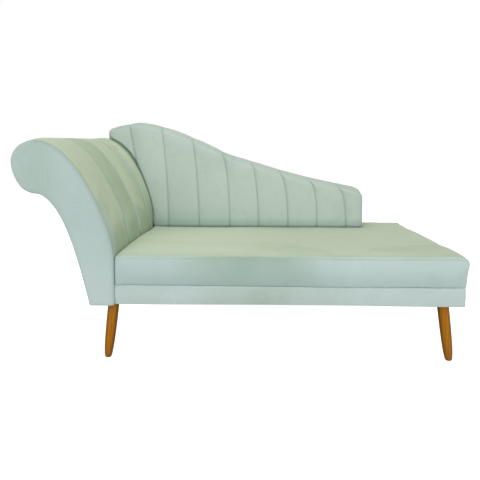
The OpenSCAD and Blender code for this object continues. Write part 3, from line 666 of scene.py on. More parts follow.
def lacquered_wood():
    """Honey-brown wood under a clear coat, with a painted highlight down each leg's front and painted shade
    round its sides, darker towards the foot.
    """
    f = Finish("lacquered_wood")
    grain = f.wave(26.0, "X", 5.0, 3.0, 1.6, f.turned((1, 1, 0.09), (0, 0, 0.6)))
    fine = f.noise(120.0, 3.0, 0.3, f.turned((1, 1, 0.05)))
    figure = f.plus(f.times(grain, 0.6), f.times(fine, 0.5))
    n = f.axes(f.normal)
    # painted highlight and shade: lightest where the leg faces the front, turned a little towards the middle
    # of the piece, darkest at its sides
    outwards = f.times(f.times(f.axes(f.object)["X"], 0.42), n["X"])
    front = f.math("ABSOLUTE", f.plus(n["Y"], outwards))
    base = f.mix(f.ramp(front, 0.05, 0.55), srgb(112, 56, 5), srgb(138, 80, 4))
    base = f.mix(f.ramp(front, 0.62, 0.98), base, srgb(169, 110, 9))
    base = f.mix(f.times(f.ramp(figure, 0.3, 0.9), 0.4), base, srgb(132, 76, 6))
    low = f.ramp(f.axes(f.object)["Z"], 0.08, 0.0)
    base = f.mix(f.times(low, 0.5), base, srgb(130, 82, 34))
    f.set(Base_Color=base, Roughness=0.42, Coat_Weight=0.12, Coat_Roughness=0.14, Specular_IOR_Level=0.1,
          Coat_Tint=(0.95, 0.75, 0.45, 1))
    f.bump(fine, 0.0002, 0.2)
    return f.mat


def pine(name, stretch):
    """Sawn softwood with its grain along the axis that stretch makes long."""
    f = Finish(name)
    rings = f.wave(30.0, "Z", 6.0, 3.0, 1.2, f.turned(stretch))
    fibres = f.noise(170.0, 3.0, 0.2, f.turned(stretch))
    figure = f.plus(f.times(rings, 0.65), f.times(fibres, 0.45))
    base = f.mix(f.ramp(figure, 0.15, 0.95), srgb(226, 192, 138), srgb(196, 150, 92))
    f.set(Base_Color=base, Roughness=0.78)
    f.bump(fibres, 0.0005, 0.5)
    return f.mat


def plywood():
    """Raw plywood: thin layers across its thickness, flecked faces."""
    f = Finish("plywood")
    layers = f.wave(150.0, "Y")
    flecks = f.noise(60.0, 4.0, 0.5, f.turned((1, 1, 0.12)))
    base = f.mix(f.ramp(flecks, 0.3, 0.7), srgb(214, 184, 138), srgb(184, 148, 100))
    base = f.mix(f.times(f.ramp(layers, 0.5, 0.8), 0.45), base, srgb(142, 104, 66))
    f.set(Base_Color=base, Roughness=0.8)
    f.bump(flecks, 0.0004, 0.4)
    return f.mat


def hardboard():
    """Brown pressed fibre board, speckled."""
    f = Finish("hardboard")
    specks = f.noise(420.0, 4.0)
    base = f.mix(f.ramp(specks, 0.35, 0.65), srgb(150, 112, 72), srgb(112, 78, 46))
    f.set(Base_Color=base, Roughness=0.7)
    f.bump(specks, 0.0003, 0.4)
    return f.mat


def foam():
    """Cream upholstery foam with open cells."""
    f = Finish("foam")
    cells = f.node("TexVoronoi", Vector=f.object, Scale=700.0).outputs["Distance"]
    yellowed = f.noise(4.0, 2.0)
    base = f.mix(yellowed, srgb(236, 226, 188), srgb(222, 202, 146))
    f.set(Base_Color=f.shade(base, f.times_plus(cells, 0.3, 0.85)), Roughness=0.95)
    f.bump(cells, 0.0006, 0.6)
    return f.mat


def woven(name, light, dark, count):
    """Plain weave with count threads in a metre, along X and Y."""
    f = Finish(name)
    across = f.wave(count / 6.28, "X")
    along = f.wave(count / 6.28, "Y")
    threads = f.times(across, along)
    slubs = f.noise(90.0, 3.0)
    tone = f.plus(f.times(threads, 0.7), f.times(slubs, 0.4))
    f.set(Base_Color=f.mix(f.ramp(tone, 0.1, 0.8), dark, light), Roughness=0.9)
    f.bump(threads, 0.0004, 0.8)
    return f.mat


def sewing_thread():
    """Sage thread with its twist."""
    f = Finish("sewing_thread")
    twist = f.wave(900.0, "DIAGONAL")
    f.set(Base_Color=f.mix(twist, srgb(146, 165, 154), srgb(162, 180, 167)), Roughness=0.7)
    f.bump(twist, 0.0001, 0.4)
    return f.mat


def zinc():
    """Zinc-plated steel, faintly mottled."""
    f = Finish("zinc_steel")
    spangle = f.noise(240.0, 3.0, 0.4)
    f.set(Base_Color=f.mix(spangle, srgb(196, 200, 204), srgb(150, 154, 160)), Metallic=1.0,
          Roughness=f.times_plus(spangle, 0.25, 0.28))
    f.bump(spangle, 0.0001, 0.3)
    return f.mat


def dress(node, mat):
    """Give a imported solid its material."""
    obj = bpy.data.objects[node]
    for slot in obj.material_slots:
        slot.material = mat
    if not obj.material_slots:
        obj.data.materials.append(mat)


def finished(obj, mat, slot, *replaced):
    """Material, body and replaced solids of a new piece; the slot argument is not used."""
    obj.data.materials.clear()
    obj.data.materials.append(mat)
    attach(obj, "root")
    if replaced:
        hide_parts(*replaced)
    return obj


def note(obj, crease_shade_share):
    """Keep at each point how much painted shade its colour gets in creases and along seams."""
    values = obj.data.attributes.new("crease_shade_share", "FLOAT", "POINT")
    values.data.foreach_set("value", np.asarray(crease_shade_share, float))


# Seat cushion

# the cushion's edge from the bottom up: inset and height in mm, with the notch of its top seam
edge_profile = [(7, 0), (4.4, 4), (2.6, 10), (1.1, 20), (0.3, 31), (0, 42), (0.3, 53), (1.2, 64), (2.8, 74),
                (5.0, 82), (7.4, 88), (9.6, 92), (10.9, 93.8), (11.7, 93.0), (12.6, 94.8), (16, 96.6),
                (21, 98.2), (28, 99.2)]
seam_in, seam_up = 0.0117, 0.93
# the same at the open end, where the edge has no seam
end_heights = [0, 30, 60, 78, 86, 92, 96, 98.6, 99.4]
end_insets = [9, 7, 3.5, 0.8, 0.8, 3, 7, 15, 26]
# where the stuffing stands up along the open end: place across the seat, width, rise in mm
end_rises = [(-0.240, 0.085, 8.0), (0.0, 0.09, 2.4), (0.250, 0.040, 2.4)]


def seat_cover():
    """Crowned cushion, cut out round the backrest, its end swelling past the frame."""
    y0 = cushion_lo.y
    x1 = seat_x1 + end_bulge
    outline = rounded(anticlockwise(np.array([
        (seat_x0, y0), (x1, y0), (x1 - 0.010, -y0), (tail_x0, -y0), (tail_x0, back_y - GAP),
        (seat_x0 + 0.0145, back_y - GAP), (seat_x0 + 0.006, 0.0), (seat_x0, -0.14)])),
        [0.012, 0.016, 0.014, 0.012, 0.006, 0.005, 0.002, 0.002], 0.008)
    beside_arm = smooth((outline[:, 0] - seat_x0 - 0.013) / 0.03)
    beside_back = np.where(outline[:, 0] < tail_x0 + 0.02, smooth((back_y - outline[:, 1]) / 0.03), 1)
    tight = (0.25 + 0.75 * beside_arm) * (0.45 + 0.55 * beside_back)
    at_end = smooth((outline[:, 0] - seat_x1 + 0.030) / 0.022)
    high = seat_z - cushion_lo.z
    section = []
    for i, h in edge_profile:
        inset = i * tight * (1 - at_end) + np.interp(h, end_heights, end_insets) * at_end
        section.append((inset / 1000, cushion_lo.z + h / 99 * high))
    obj = upholstered("seat_cover", outline, section, lying, 0.0085)
    co = coords(obj)
    x, y = co[:, 0], co[:, 1]
    share = (co[:, 2] - cushion_lo.z) / high
    # painted shade along the seam on the front edge, fading out towards the open end
    sewn = np.abs(share - seam_up * 100 / 99) < 0.002
    near_end = smooth((x - 0.62) / 0.12)
    note(obj, sewn * (1 - near_end) * (y < y0 + 0.03))
    # stuffing: the top swells away from its edges, and stands up at the back's end and the open end
    to_back = np.hypot(np.clip(x - tail_x0, 0, None), np.clip(back_y - y, 0, None))
    rear_edge = np.minimum(-y0 - y, to_back)
    front_edge, from_arm = y - y0, x - seat_x0
    off_end = smooth((x1 - x + 0.02) / 0.07)
    top = smooth((share - 0.7) / 0.3)
    swell = 0.010 + 0.004 * np.exp(-((x - 0.15) / 0.50) ** 2)
    swell *= 0.90 + 0.10 * smooth(from_arm / 0.45)
    co[:, 2] += top * swell * smooth((front_edge + 0.034) / 0.080) * off_end * (
        np.maximum(0.12 + 0.88 * smooth((rear_edge - 0.01) / 0.24), 0.45 * (1 - smooth(from_arm / 0.12))))
    co[:, 2] += 0.004 * (1 - share) * np.clip((0.3 - x) / 0.75, 0, 1) * (share < 0.99)
    past_back = smooth((x - tail_x0) / 0.02) * (0.007 - 0.003 * smooth((x - 0.60) / 0.15))
    co[:, 2] += top * past_back * np.exp(-((-y0 - y) / 0.07) ** 2) * off_end
    for place, width, rise in end_rises:
        co[:, 2] += rise / 1000 * top * near_end * np.exp(-((y - place) / width) ** 2)
    # puckers along the front edge, a shallow dish on top and uneven filling behind the front
    rng = np.random.default_rng(5)
    pucker = np.zeros(len(co))
    for at in np.arange(seat_x0 + 0.02, x1 - 0.01, 0.034):
        at += rng.uniform(-0.010, 0.010)
        pucker += rng.uniform(0.2, 1.0) * np.exp(-((x - at) / 0.007) ** 2)
    front = np.exp(-(front_edge / 0.035) ** 2)
    high_edge = np.exp(-((share - 0.94) / 0.14) ** 2)
    low_edge = np.exp(-(share / 0.20) ** 2)
    dish = 0.0016 * wander(co * [3, 10, 6], 1.4, 2) * top
    push = pucker * front * (0.0010 * high_edge + 0.0012 * low_edge) + dish
    push += 0.0016 * front * wander(co * [1, 0, 2.5], 5.0, 9)
    co -= vertex_normals(obj) * push[:, None]
    set_coords(obj, co)
    return obj


# Arm

def channel(y, bounds, groove=0.0030, rim=0.011, rim_full=0.0):
    """Fullness across sewn channels: 0 in each seam's narrow groove, and at the two rims."""
    y = np.asarray(y, float)
    b = np.array(bounds)
    k = np.clip(np.searchsorted(b, y, side="right") - 1, 0, len(b) - 2)
    u = np.clip((y - b[k]) / (b[k + 1] - b[k]), 0, 1)
    left = np.abs(y - b[k]) / np.where(k == 0, rim, groove)
    right = np.abs(b[k + 1] - y) / np.where(k == len(b) - 2, rim, groove)
    rise_l, rise_r = 1 - np.exp(-left), 1 - np.exp(-right)
    rise_l = np.where(k == 0, rim_full + (1 - rim_full) * rise_l, rise_l)
    rise_r = np.where(k == len(b) - 2, rim_full + (1 - rim_full) * rise_r, rise_r)
    return rise_l * rise_r * (0.66 + 0.34 * np.sin(np.pi * u) ** 0.8)


# how far from a seam the first points stand
seam_steps = np.array([0, 1.1, 2.4, 4.0, 6.0, 8.6, 12.0, 16.5, 22.0]) / 1000


def stations(bounds, step):
    """Places along an axis, close together beside each bound."""
    out = [bounds[:1]]
    for a, b in zip(bounds[:-1], bounds[1:]):
        near = seam_steps[seam_steps < 0.45 * (b - a)]
        inner = (b - a) - 2 * near[-1]
        n = max(1, int(round(inner / step)))
        run = near[-1] + inner * np.arange(1, n) / n
        out.append(a + np.concatenate([near[1:], run, (b - a) - near[::-1]]))
    return np.concatenate(out)


rim_fullness = 0.30
rim_width = 0.018


def arm_fullness(path):
    """Fullness along the arm's profile: none at the seat, whole above it, fading round the scroll."""
    s = lengths(path)
    first = s[np.argmin(np.abs(path[:, 1] - seat_z) + (path[:, 0] < seat_x0 - 0.05))]
    over = s[np.argmin(np.linalg.norm(path - arm_roll[0], axis=1))]
    t = (s - first) / (over - first)
    round_roll = 1 - (s - over) / (roll_r * math.radians(105))
    return t, smooth(t / 0.18) * np.clip(round_roll, 0, 1) ** 0.8


def arm_profile(step=0.0075):
    """The inside arm's path from the seat frame to the end of the scroll."""
    start = np.array([[seat_x0 - GAP, arm_pad_z0], [seat_x0 - GAP, out_of_seat]])
    return joined(resampled(start, 0.02), resampled(joined(arm_inner, arm_roll), step))


def off_arm(co):
    """The arm's profile, its point nearest to each of the points, and how far outside it they are."""
    path = arm_profile()
    normal = right_of(path)
    plan = co[:, [0, 2]]
    near = np.array([np.argmin(np.sum((path - p) ** 2, axis=1)) for p in plan])
    return path, near, np.sum((plan - path[near]) * normal[near], axis=1)


# how high the cover rises beside the back, along the arm's profile, and where across the arm most of all
corner_places = [-0.10, 0, 0.15, 0.30, 0.45, 0.57, 0.65, 0.70, 0.78, 0.84, 0.89, 0.95, 1]
corner_heights = np.array([0, 13, 18, 26, 32.5, 36, 40, 42, 39, 33, 22, 8, 0]) / 1000
corner_y = back_y - 0.014


def arm_relief(path, y, full):
    """How far the arm's cover stands off its profile at y, where its channel is so full."""
    t, full_along = arm_fullness(path)
    high = np.interp(t, corner_places, corner_heights)
    on_top = smooth((t - 0.55) / 0.35) * smooth((arm_y - abs(y)) / 0.10)
    start, end = -0.14, back_y - 0.004
    if y < corner_y:
        steepness = 1 + 3 * smooth(t / 0.5) + 6 * smooth((t - 0.5) / 0.3)
        corner = max(0, (y - start) / (corner_y - start)) ** steepness
    else:
        corner = max(0, 1 - ((y - corner_y) / (end - corner_y)) ** 2)
    return arm_puff * (full + (0.93 - full) * 0.8 * on_top) * full_along + corner * high


def arm_pad_cover():
    """Inside of the arm: sewn channels over the crown and round the scroll."""
    path = arm_profile()
    normal = right_of(path)
    ys = stations(arm_bounds, 0.0075)
    full = channel(ys, arm_bounds, rim=rim_width, rim_full=rim_fullness)
    outer = [path + arm_relief(path, y, f)[:, None] * normal for y, f in zip(ys, full)]
    return band("arm_pad_cover", outer, path - arm_pad_t * normal, ys)


def arm_facing(name, front):
    """Flat padded facing in the arm's outline, with small gathers round its rim."""
    foot_z = border_lo.z - 0.0066
    path = joined([[seat_x0 - GAP, foot_z]], arm_inner, arm_roll, arm_outer[:-1], [[arm_foot[0], foot_z]])
    outline = rounded(anticlockwise(path), 0.013, 0.0044)
    side = -1 if front else 1
    back_face = side * (facing_y - facing_t)
    _, full = arm_fullness(path)
    near = np.argmin(np.linalg.norm(outline[:, None] - path[None], axis=2), axis=1)
    lip = arm_puff * rim_fullness * 0.66 * full[near] * (outline[:, 1] > seat_z)
    foot = 0.5 + 0.5 * smooth((outline[:, 1] - foot_z - 0.004) / 0.05)
    section = [(i * foot - lip * (1 - smooth(h / 0.0100)), h) for i, h in (
        (0.0, 0.0), (0.0, 0.0010), (0.0006, 0.0028), (0.0018, 0.0046), (0.0038, 0.0064), (0.0068, 0.0082),
        (0.0105, 0.0096), (0.0150, 0.0107), (0.0200, 0.0112))]
    obj = upholstered(name, outline, section,
                      lambda p, h: standing(p, back_face + side * h), 0.0044)
    co = coords(obj)
    depth = side * co[:, 1] - (facing_y - facing_t)
    plan = co[:, [0, 2]]
    # for each point, how far it is from the rim and where along it
    ring = np.concatenate([outline, outline[:1]])
    rim_long = lengths(ring)[-1]
    rim_points = 900
    far = np.full(len(co), 1e9)
    at = np.zeros(len(co))
    for k, q in enumerate(at_lengths(ring, np.linspace(0, rim_long, rim_points))):
        d = np.hypot(plan[:, 0] - q[0], plan[:, 1] - q[1])
        closer = d < far
        far[closer], at[closer] = d[closer], k / rim_points * rim_long
    # gathers where the cloth is pulled over the rim, most of them round the scroll
    rng = np.random.default_rng(3)
    gather = np.zeros(len(co))
    for p in np.arange(0, rim_long, 0.016):
        p += rng.uniform(-0.004, 0.004)
        size = rng.uniform(0.25, 1.0)
        reach = rng.uniform(0.024, 0.050)
        gap = np.abs(at - p)
        gap = np.minimum(gap, rim_long - gap)
        gather += size * np.exp(-(gap / 0.0046) ** 2) * np.clip(1 - far / reach, 0, 1)
    shown = smooth((depth - 0.006) / 0.004)
    on_scroll = smooth((plan[:, 1] - 0.60) / 0.06)
    swell = 0.0012 * wander(co * [1, 0, 1], 9.0, 4)
    ripple = np.cos((plan[:, 0] - roll_c[0]) * 2 * math.pi / 0.014)
    beside, below = (plan[:, 0] - roll_c[0] - 0.035) / 0.030, (plan[:, 1] - roll_c[1] + 0.03) / 0.040
    swell += 0.0012 * ripple * np.exp(-beside ** 2 - below ** 2)
    co[:, 1] += side * shown * (swell - 0.0026 * gather * (0.25 + 0.75 * on_scroll))
    set_coords(obj, co)
    # painted shade along the facing's inner edge, beside the arm's pad and the seat
    inner_edge = joined([[seat_x0 - GAP, foot_z]], arm_inner)
    inner = np.min(np.linalg.norm(plan[:, None] - inner_edge[None], axis=2), axis=1)
    upright = np.abs(plan[:, 0] - seat_x0) + (plan[:, 1] > seat_z)
    note(obj, np.exp(-np.minimum(inner, upright) / 0.006))
    return obj


def outside_cover():
    """Cloth over the outside of the arm, from the scroll to the foot."""
    path = resampled(arm_outer, 0.009)
    ys = np.linspace(-arm_y, arm_y, 74)
    obj = band("arm_outside_cloth", [path] * len(ys), moved(path, -cloth_t), ys)
    co = coords(obj)
    co[:, 0] += 0.0012 * wander(co * [0, 1, 1], 7.0, 8) * smooth((0.55 - co[:, 2]) / 0.2)
    set_coords(obj, co)
    return obj


# Backrest

def lean(d, reach):
    """Share of the seams' lean left at depth d below the crown."""
    return np.clip(np.exp(-np.asarray(d) / reach) - 0.05, 0, None) / 0.95


def lean_at(x):
    """The lean at x and how deep it reaches."""
    return (np.interp(x, back_bounds, [0, *seam_lean, 0]),
            np.interp(x, back_bounds, [seam_reach[0], *seam_reach, seam_reach[-1]]))


def lean_floor(x, a, reach, top):
    """Height of the lower edge of the seam that starts at x, which leans a towards the arm."""
    z = float(back_floor(x))
    for _ in range(5):
        z = float(back_floor(x - a * lean(top - z, reach)))
    return z


# points of a ring up the front, round the crown, along its top, down the rear and on each side inside
FRONT_N, CROWN_N, TOP_N, REAR_N, INNER_N = 64, 12, 10, 8, 10


def seam_dent(x):
    """How far a seam pulls the crown down at x."""
    return 0.0031 * np.clip((0.45 - x) / 0.6, 0.3, 1)


def back_ring(x, a, reach, f, dent):
    """One ring of the back pad at x: up the front, over the crown, down the rear and back inside."""
    zt = float(crown_seen(x - a)) - dent
    nose = np.clip((x - lap_x) / 0.009, 0, 1)
    zb = lean_floor(x, a, reach, zt) + 0.009 * (1 - math.sqrt(1 - (1 - nose) ** 2))
    over_arm = x < lap_edge_x
    corner = min(corner_puff, 0.5 * (zt - zb)) if over_arm else 0.001
    base = max(zb + corner, out_of_seat)
    rise = min(0.007, 0.4 * (zt - base))
    r = min(crown_r, 0.45 * (zt - base))
    end = np.clip((x - lap_x) / 0.050, 0, 1)
    recede = 0.036 * (1 - math.sqrt(1 - (1 - end) ** 2))
    p = back_y - back_puff * f + recede
    z_front = np.r_[np.linspace(zb, base + 0.016, 12)[:-1], np.linspace(base + 0.016, zt - r, FRONT_N - 11)]
    full = smooth((z_front - base) / rise) ** 0.6
    hem = 0.0010 * np.exp(-((z_front - base - 0.006) / 0.0025) ** 2) * (0 if over_arm else 1)
    y_front = back_y - back_puff * f * full + recede - hem
    t = np.linspace(0, 90, CROWN_N + 1)[1:]
    crown_arc = np.c_[p + crown_r * (1 - np.cos(np.radians(t))), zt - r + r * np.sin(np.radians(t))]
    solid = x - a < lap_top[0]
    under = float(crown(x - a)) - crown_t
    rr = min(rear_r, r) if solid else min(rear_r, r, zt - under - 0.0005)
    y0, y1 = p + crown_r, back_rear - rear_r
    top = np.c_[np.linspace(y0, y1, TOP_N + 1)[1:], np.full(TOP_N, zt)]
    t = np.radians(np.linspace(90, 0, REAR_N + 1)[1:])
    rear = np.c_[back_rear - rear_r * (1 - np.cos(t)), zt - rr * (1 - np.sin(t))]
    q = [back_rear, zb if solid else under]
    m = [back_rear - 0.030 if solid else back_y + back_pad_t, q[1]]
    e = [back_y + back_pad_t, zb]
    turns = [rear[-1], q, m, e, [back_y, zb]]
    inner = np.concatenate([np.linspace(a0, a1, INNER_N + 1)[1:] for a0, a1 in zip(turns, turns[1:])])[:-1]
    pts = np.concatenate([np.c_[y_front, z_front], crown_arc, top, rear, inner])
    n_lean = FRONT_N + CROWN_N
    share = np.ones(len(pts))
    share[:n_lean] = lean(zt - pts[:n_lean, 1], reach)
    share[-INNER_N:] = lean(zt - pts[-INNER_N:, 1], reach)
    return np.c_[x - a * share, pts]


def back_pad_cover():
    """Front of the backrest: leaning sewn channels under a rolled crown."""
    xs = stations(back_bounds, 0.0080)
    a, _ = lean_at(xs)
    step_x = np.interp(lap_top[0], xs - a, xs)
    xs = np.sort(np.concatenate([xs, [step_x - 0.0002, step_x + 0.0002]]))
    a, reach = lean_at(xs)
    full = channel(xs, back_bounds, groove=0.0042)
    nearest = np.min(np.abs(xs[:, None] - back_seams[None]), axis=1)
    dents = seam_dent(xs) * np.exp(-nearest / 0.016)
    rings = [back_ring(*values) for values in zip(xs, a, reach, full, dents)]
    cols = len(rings[0])
    faces = grid_faces(len(xs), cols, wrap=True)
    loop = [(i, (i + 1) % cols) for i in range(cols)]
    for j in (0, len(xs) - 1):
        tris = delaunay_2d_cdt([Vector(p) for p in rings[j][:, 1:]], loop, [], 1, 1e-7)[2]
        faces += [[j * cols + i for i in f] for f in tris]
    return mesh_piece("back_pad_cover", np.concatenate(rings), faces)


def meet_arm(obj):
    """Note how near each point of the back's front is to the arm's cover that it meets, for a painted shade
    in that crease.
    """
    co = coords(obj)
    path, near, out = off_arm(co)
    clear = out - arm_relief(path, corner_y, 0.9)[near]
    note(obj, (1 - smooth(clear / 0.006)) * (co[:, 1] < back_y + 0.03) * (co[:, 2] > seat_z - 0.02))


def end_boxing():
    """Narrow end of the backrest, a little padded."""
    upper = back_ring(core_x1, 0, 1, 0, 0)[:FRONT_N + CROWN_N + TOP_N + REAR_N, 1:]
    outline = np.concatenate([upper, [[upper[-1, 0], cushion_lo.z], [upper[0, 0], cushion_lo.z]]])
    t = boxing_hi.x - boxing_lo.x
    section = [(0, 0), (0, t * 0.3), (0.0009, t * 0.75), (0.0028, t), (0.008, t + 0.0022),
               (0.018, t + 0.0034)]
    return upholstered("back_end_cloth", rounded(outline, 0.003, 0.006), section,
                       lambda p, h: np.c_[boxing_lo.x + h, p], 0.008)


def under_crown(xs, floor):
    """Outline in X and Z from inside the crown down to a lower edge."""
    return np.concatenate([np.c_[xs, crown(xs) - cover_in], np.c_[xs, floor(xs)][::-1]])


def rear_cover():
    """Cloth over the rear of the backrest."""
    outline = rounded(under_crown(np.linspace(rear_x0, cover_hi.x, 160), rear_floor), 0.002, 0.010)
    section = [(0, cover_lo.y), (0, cover_lo.y + cloth_t * 0.6), (0.0008, cover_lo.y + cloth_t)]
    return upholstered("back_rear_cloth", outline, section, standing, 0.010)


# Sewing and stuffing

BLOW_FRAMES = 20


def blown(pieces):
    """Cloth simulation: each cover is blown up from inside with its seams and hidden sides held.

    pieces holds (object, held 0 to 1 for each point, furthest move). The moved points go back into the
    object's own mesh, so that no Cloth is left on it.
    """
    scene.frame_start, scene.frame_end = 1, BLOW_FRAMES
    trials = []
    for obj, held, _ in pieces:
        trial = obj.copy()
        trial.data = obj.data.copy()
        scene.collection.objects.link(trial)
        group = trial.vertex_groups.new(name="held")
        held = np.round(held, 2)
        for share in np.unique(held):
            group.add(np.flatnonzero(held == share).tolist(), float(share), "REPLACE")
        cloth = trial.modifiers.new("Cloth", "CLOTH")
        cloth.settings.quality = 5
        cloth.settings.mass = 0.3
        cloth.settings.tension_stiffness = cloth.settings.compression_stiffness = 18
        cloth.settings.shear_stiffness = 6
        cloth.settings.bending_stiffness = 0.6
        cloth.settings.use_pressure = True
        cloth.settings.uniform_pressure_force = 4
        cloth.settings.vertex_group_mass = "held"
        cloth.settings.effector_weights.gravity = 0
        cloth.collision_settings.use_collision = False
        cloth.collision_settings.use_self_collision = False
        cloth.point_cache.frame_start, cloth.point_cache.frame_end = 1, BLOW_FRAMES
        trials.append(trial)
    for step in range(1, BLOW_FRAMES + 1):
        scene.frame_set(step)
    seen = bpy.context.evaluated_depsgraph_get()
    for trial, (obj, _, limit) in zip(trials, pieces):
        move = coords(trial.evaluated_get(seen)) - coords(obj)
        far = np.linalg.norm(move, axis=1, keepdims=True)
        set_coords(obj, coords(obj) + move * limit / (limit + far))
        trial_mesh = trial.data
        bpy.data.objects.remove(trial)
        bpy.data.meshes.remove(trial_mesh)
    scene.frame_set(1)


def seat_held(obj):
    """The seat's bottom, its sides at the arm and back, and its top seam are held."""
    co = coords(obj)
    low = 1 - smooth((co[:, 2] - cushion_lo.z) / 0.012)
    hidden = smooth((co[:, 1] - back_y + 0.02) / 0.02) * (co[:, 0] < tail_x0 + 0.02)
    at_arm = 1 - smooth((co[:, 0] - seat_x0 - 0.010) / 0.02)
    high = co[:, 2] > cushion_lo.z + 0.08
    front = np.abs(co[:, 1] - cushion_lo.y - seam_in)
    sewn = (1 - smooth((front - 0.002) / 0.008)) * high
    return np.clip(np.maximum.reduce([low, hidden, at_arm, sewn]), 0, 1)


def arm_held(obj):
    """The arm pad is held at its seams, its rims, its inside and its two ends."""
    co = coords(obj)
    path, near, out = off_arm(co)
    _, full_along = arm_fullness(path)
    full = channel(co[:, 1], arm_bounds, groove=0.005, rim=rim_width)
    free = smooth((full - 0.35) / 0.4) * smooth((out - 0.001) / 0.004) * smooth(full_along[near] / 0.5)
    return 1 - free * smooth((back_y - 0.03 - co[:, 1]) / 0.03)


def back_held(obj):
    """The back pad is held at its seams, its lower edge, its inside and its rear."""
    co = coords(obj)
    x = co[:, 0].copy()
    depth = np.clip(crown(x) - co[:, 2], 0, None)
    for _ in range(4):
        a, reach = lean_at(x)
        x = co[:, 0] + a * lean(depth, reach)
        depth = np.clip(crown(x) - co[:, 2], 0, None)
    full = channel(x, back_bounds, groove=0.005)
    base = np.where(co[:, 0] < lap_edge_x, back_floor(co[:, 0]) + corner_puff, seat_z)
    shown = smooth((back_y + 0.012 - co[:, 1]) / 0.008) * smooth((co[:, 2] - base - 0.006) / 0.015)
    return 1 - smooth((full - 0.35) / 0.4) * shown


def stitch_tree():
    """Rows of stitches along a mesh's edges."""
    tree = bpy.data.node_groups.new("stitch_rows", "GeometryNodeTree")
    face = tree.interface
    face.new_socket("Geometry", in_out="INPUT", socket_type="NodeSocketGeometry")
    sizes = {"Stitch step": 0.0045, "Stitch length": 0.0036, "Thread": 0.0009, "Wander": 0.12}
    for label, value in sizes.items():
        face.new_socket(label, in_out="INPUT", socket_type="NodeSocketFloat").default_value = value
    face.new_socket("Seed", in_out="INPUT", socket_type="NodeSocketInt").default_value = 7
    face.new_socket("Thread finish", in_out="INPUT", socket_type="NodeSocketMaterial")
    face.new_socket("Geometry", in_out="OUTPUT", socket_type="NodeSocketGeometry")
    add = tree.nodes.new
    given, result = add("NodeGroupInput").outputs, add("NodeGroupOutput")
    rows, even = add("GeometryNodeMeshToCurve"), add("GeometryNodeResampleCurve")
    even.mode = "LENGTH"
    bead, place = add("GeometryNodeMeshIcoSphere"), add("GeometryNodeInstanceOnPoints")
    bead.inputs["Radius"].default_value = 0.5
    bead.inputs["Subdivisions"].default_value = 1
    along, ahead = add("FunctionNodeAlignRotationToVector"), add("GeometryNodeInputTangent")
    along.axis = "X"
    size, turn = add("ShaderNodeCombineXYZ"), add("FunctionNodeRotateRotation")
    turn.rotation_space = "LOCAL"
    chance, less = add("FunctionNodeRandomValue"), add("ShaderNodeMath")
    chance.data_type = "FLOAT_VECTOR"
    less.operation = "MULTIPLY"
    less.inputs[1].default_value = -1.0
    whole, soft = add("GeometryNodeRealizeInstances"), add("GeometryNodeSetShadeSmooth")
    coloured = add("GeometryNodeSetMaterial")
    low, high = (next(k for k in chance.inputs if k.name == end and k.type == "VECTOR")
                 for end in ("Min", "Max"))
    wired(tree, (given["Geometry"], rows.inputs[0]), (rows.outputs[0], even.inputs["Curve"]),
          (given["Stitch step"], even.inputs["Length"]), (even.outputs[0], place.inputs["Points"]),
          (bead.outputs[0], place.inputs["Instance"]), (ahead.outputs[0], along.inputs["Vector"]),
          (along.outputs[0], turn.inputs["Rotation"]), (given["Wander"], less.inputs[0]),
          (less.outputs[0], low), (given["Wander"], high), (given["Seed"], chance.inputs["Seed"]),
          (chance.outputs["Value"], turn.inputs["Rotate By"]), (turn.outputs[0], place.inputs["Rotation"]),
          (given["Stitch length"], size.inputs["X"]), (given["Thread"], size.inputs["Y"]),
          (given["Thread"], size.inputs["Z"]), (size.outputs[0], place.inputs["Scale"]),
          (place.outputs[0], whole.inputs[0]), (whole.outputs[0], soft.inputs[0]),
          (soft.outputs[0], coloured.inputs[0]), (given["Thread finish"], coloured.inputs["Material"]),
          (coloured.outputs[0], result.inputs[0]))
    return tree


def stitches(name, lines, tree, thread, seed, thick):
    """Sewn rows along lines of points, as a plain mesh."""
    verts, edges = [], []
    for line in lines:
        edges += [(len(verts) + i, len(verts) + i + 1) for i in range(len(line) - 1)]
        verts += [tuple(map(float, p)) for p in line]
    mesh = bpy.data.meshes.new(name + "_rows")
    mesh.from_pydata(verts, edges, [])
    rows = linked(name + "_rows", mesh)
    sewing = rows.modifiers.new("stitches", "NODES")
    sewing.node_group = tree
    wanted = {"Seed": seed, "Thread finish": thread, "Thread": thick}
    for item in tree.interface.items_tree:
        if item.in_out == "INPUT" and item.name in wanted:
            sewing[item.identifier] = wanted[item.name]
    seen = bpy.context.evaluated_depsgraph_get()
    made = bpy.data.meshes.new_from_object(rows.evaluated_get(seen))
    bpy.data.objects.remove(rows)
    bpy.data.meshes.remove(mesh)
    return linked(name, made)


def arm_seam_lines():
    """Along the arm's seams, in their grooves."""
    path = arm_profile()
    normal = right_of(path)
    t, _ = arm_fullness(path)
    lines = []
    for y in arm_seams:
        line = path + (arm_relief(path, y, 0.0) + 0.0004)[:, None] * normal
        lines.append(standing(line, y)[t > 0.01])
    return lines


def back_seam_lines():
    """Along the back's seams from the seat up, in their grooves."""
    lines = []
    for x, a, reach in zip(back_seams, seam_lean, seam_reach):
        ring = back_ring(x, a, reach, 0.0, seam_dent(x))[:FRONT_N + CROWN_N]
        lines.append(ring[ring[:, 2] > seat_z + 0.004] - [0, 0.0004, 0])
    return lines


def seat_seam_line(obj):
    """Along the seam on the seat's front edge, on the cover's own surface."""
    line = []
    for x in np.arange(seat_x0 + 0.014, seat_x1 - 0.004, 0.006):
        at = Vector((x, cushion_lo.y + seam_in, cushion_lo.z + seam_up * (seat_z - cushion_lo.z) + 0.004))
        _, spot, normal, _ = obj.closest_point_on_mesh(at)
        line.append(np.array(spot) + 0.0003 * np.array(normal))
    return [np.array(line)]


# Border, covers underneath and the seat's inside

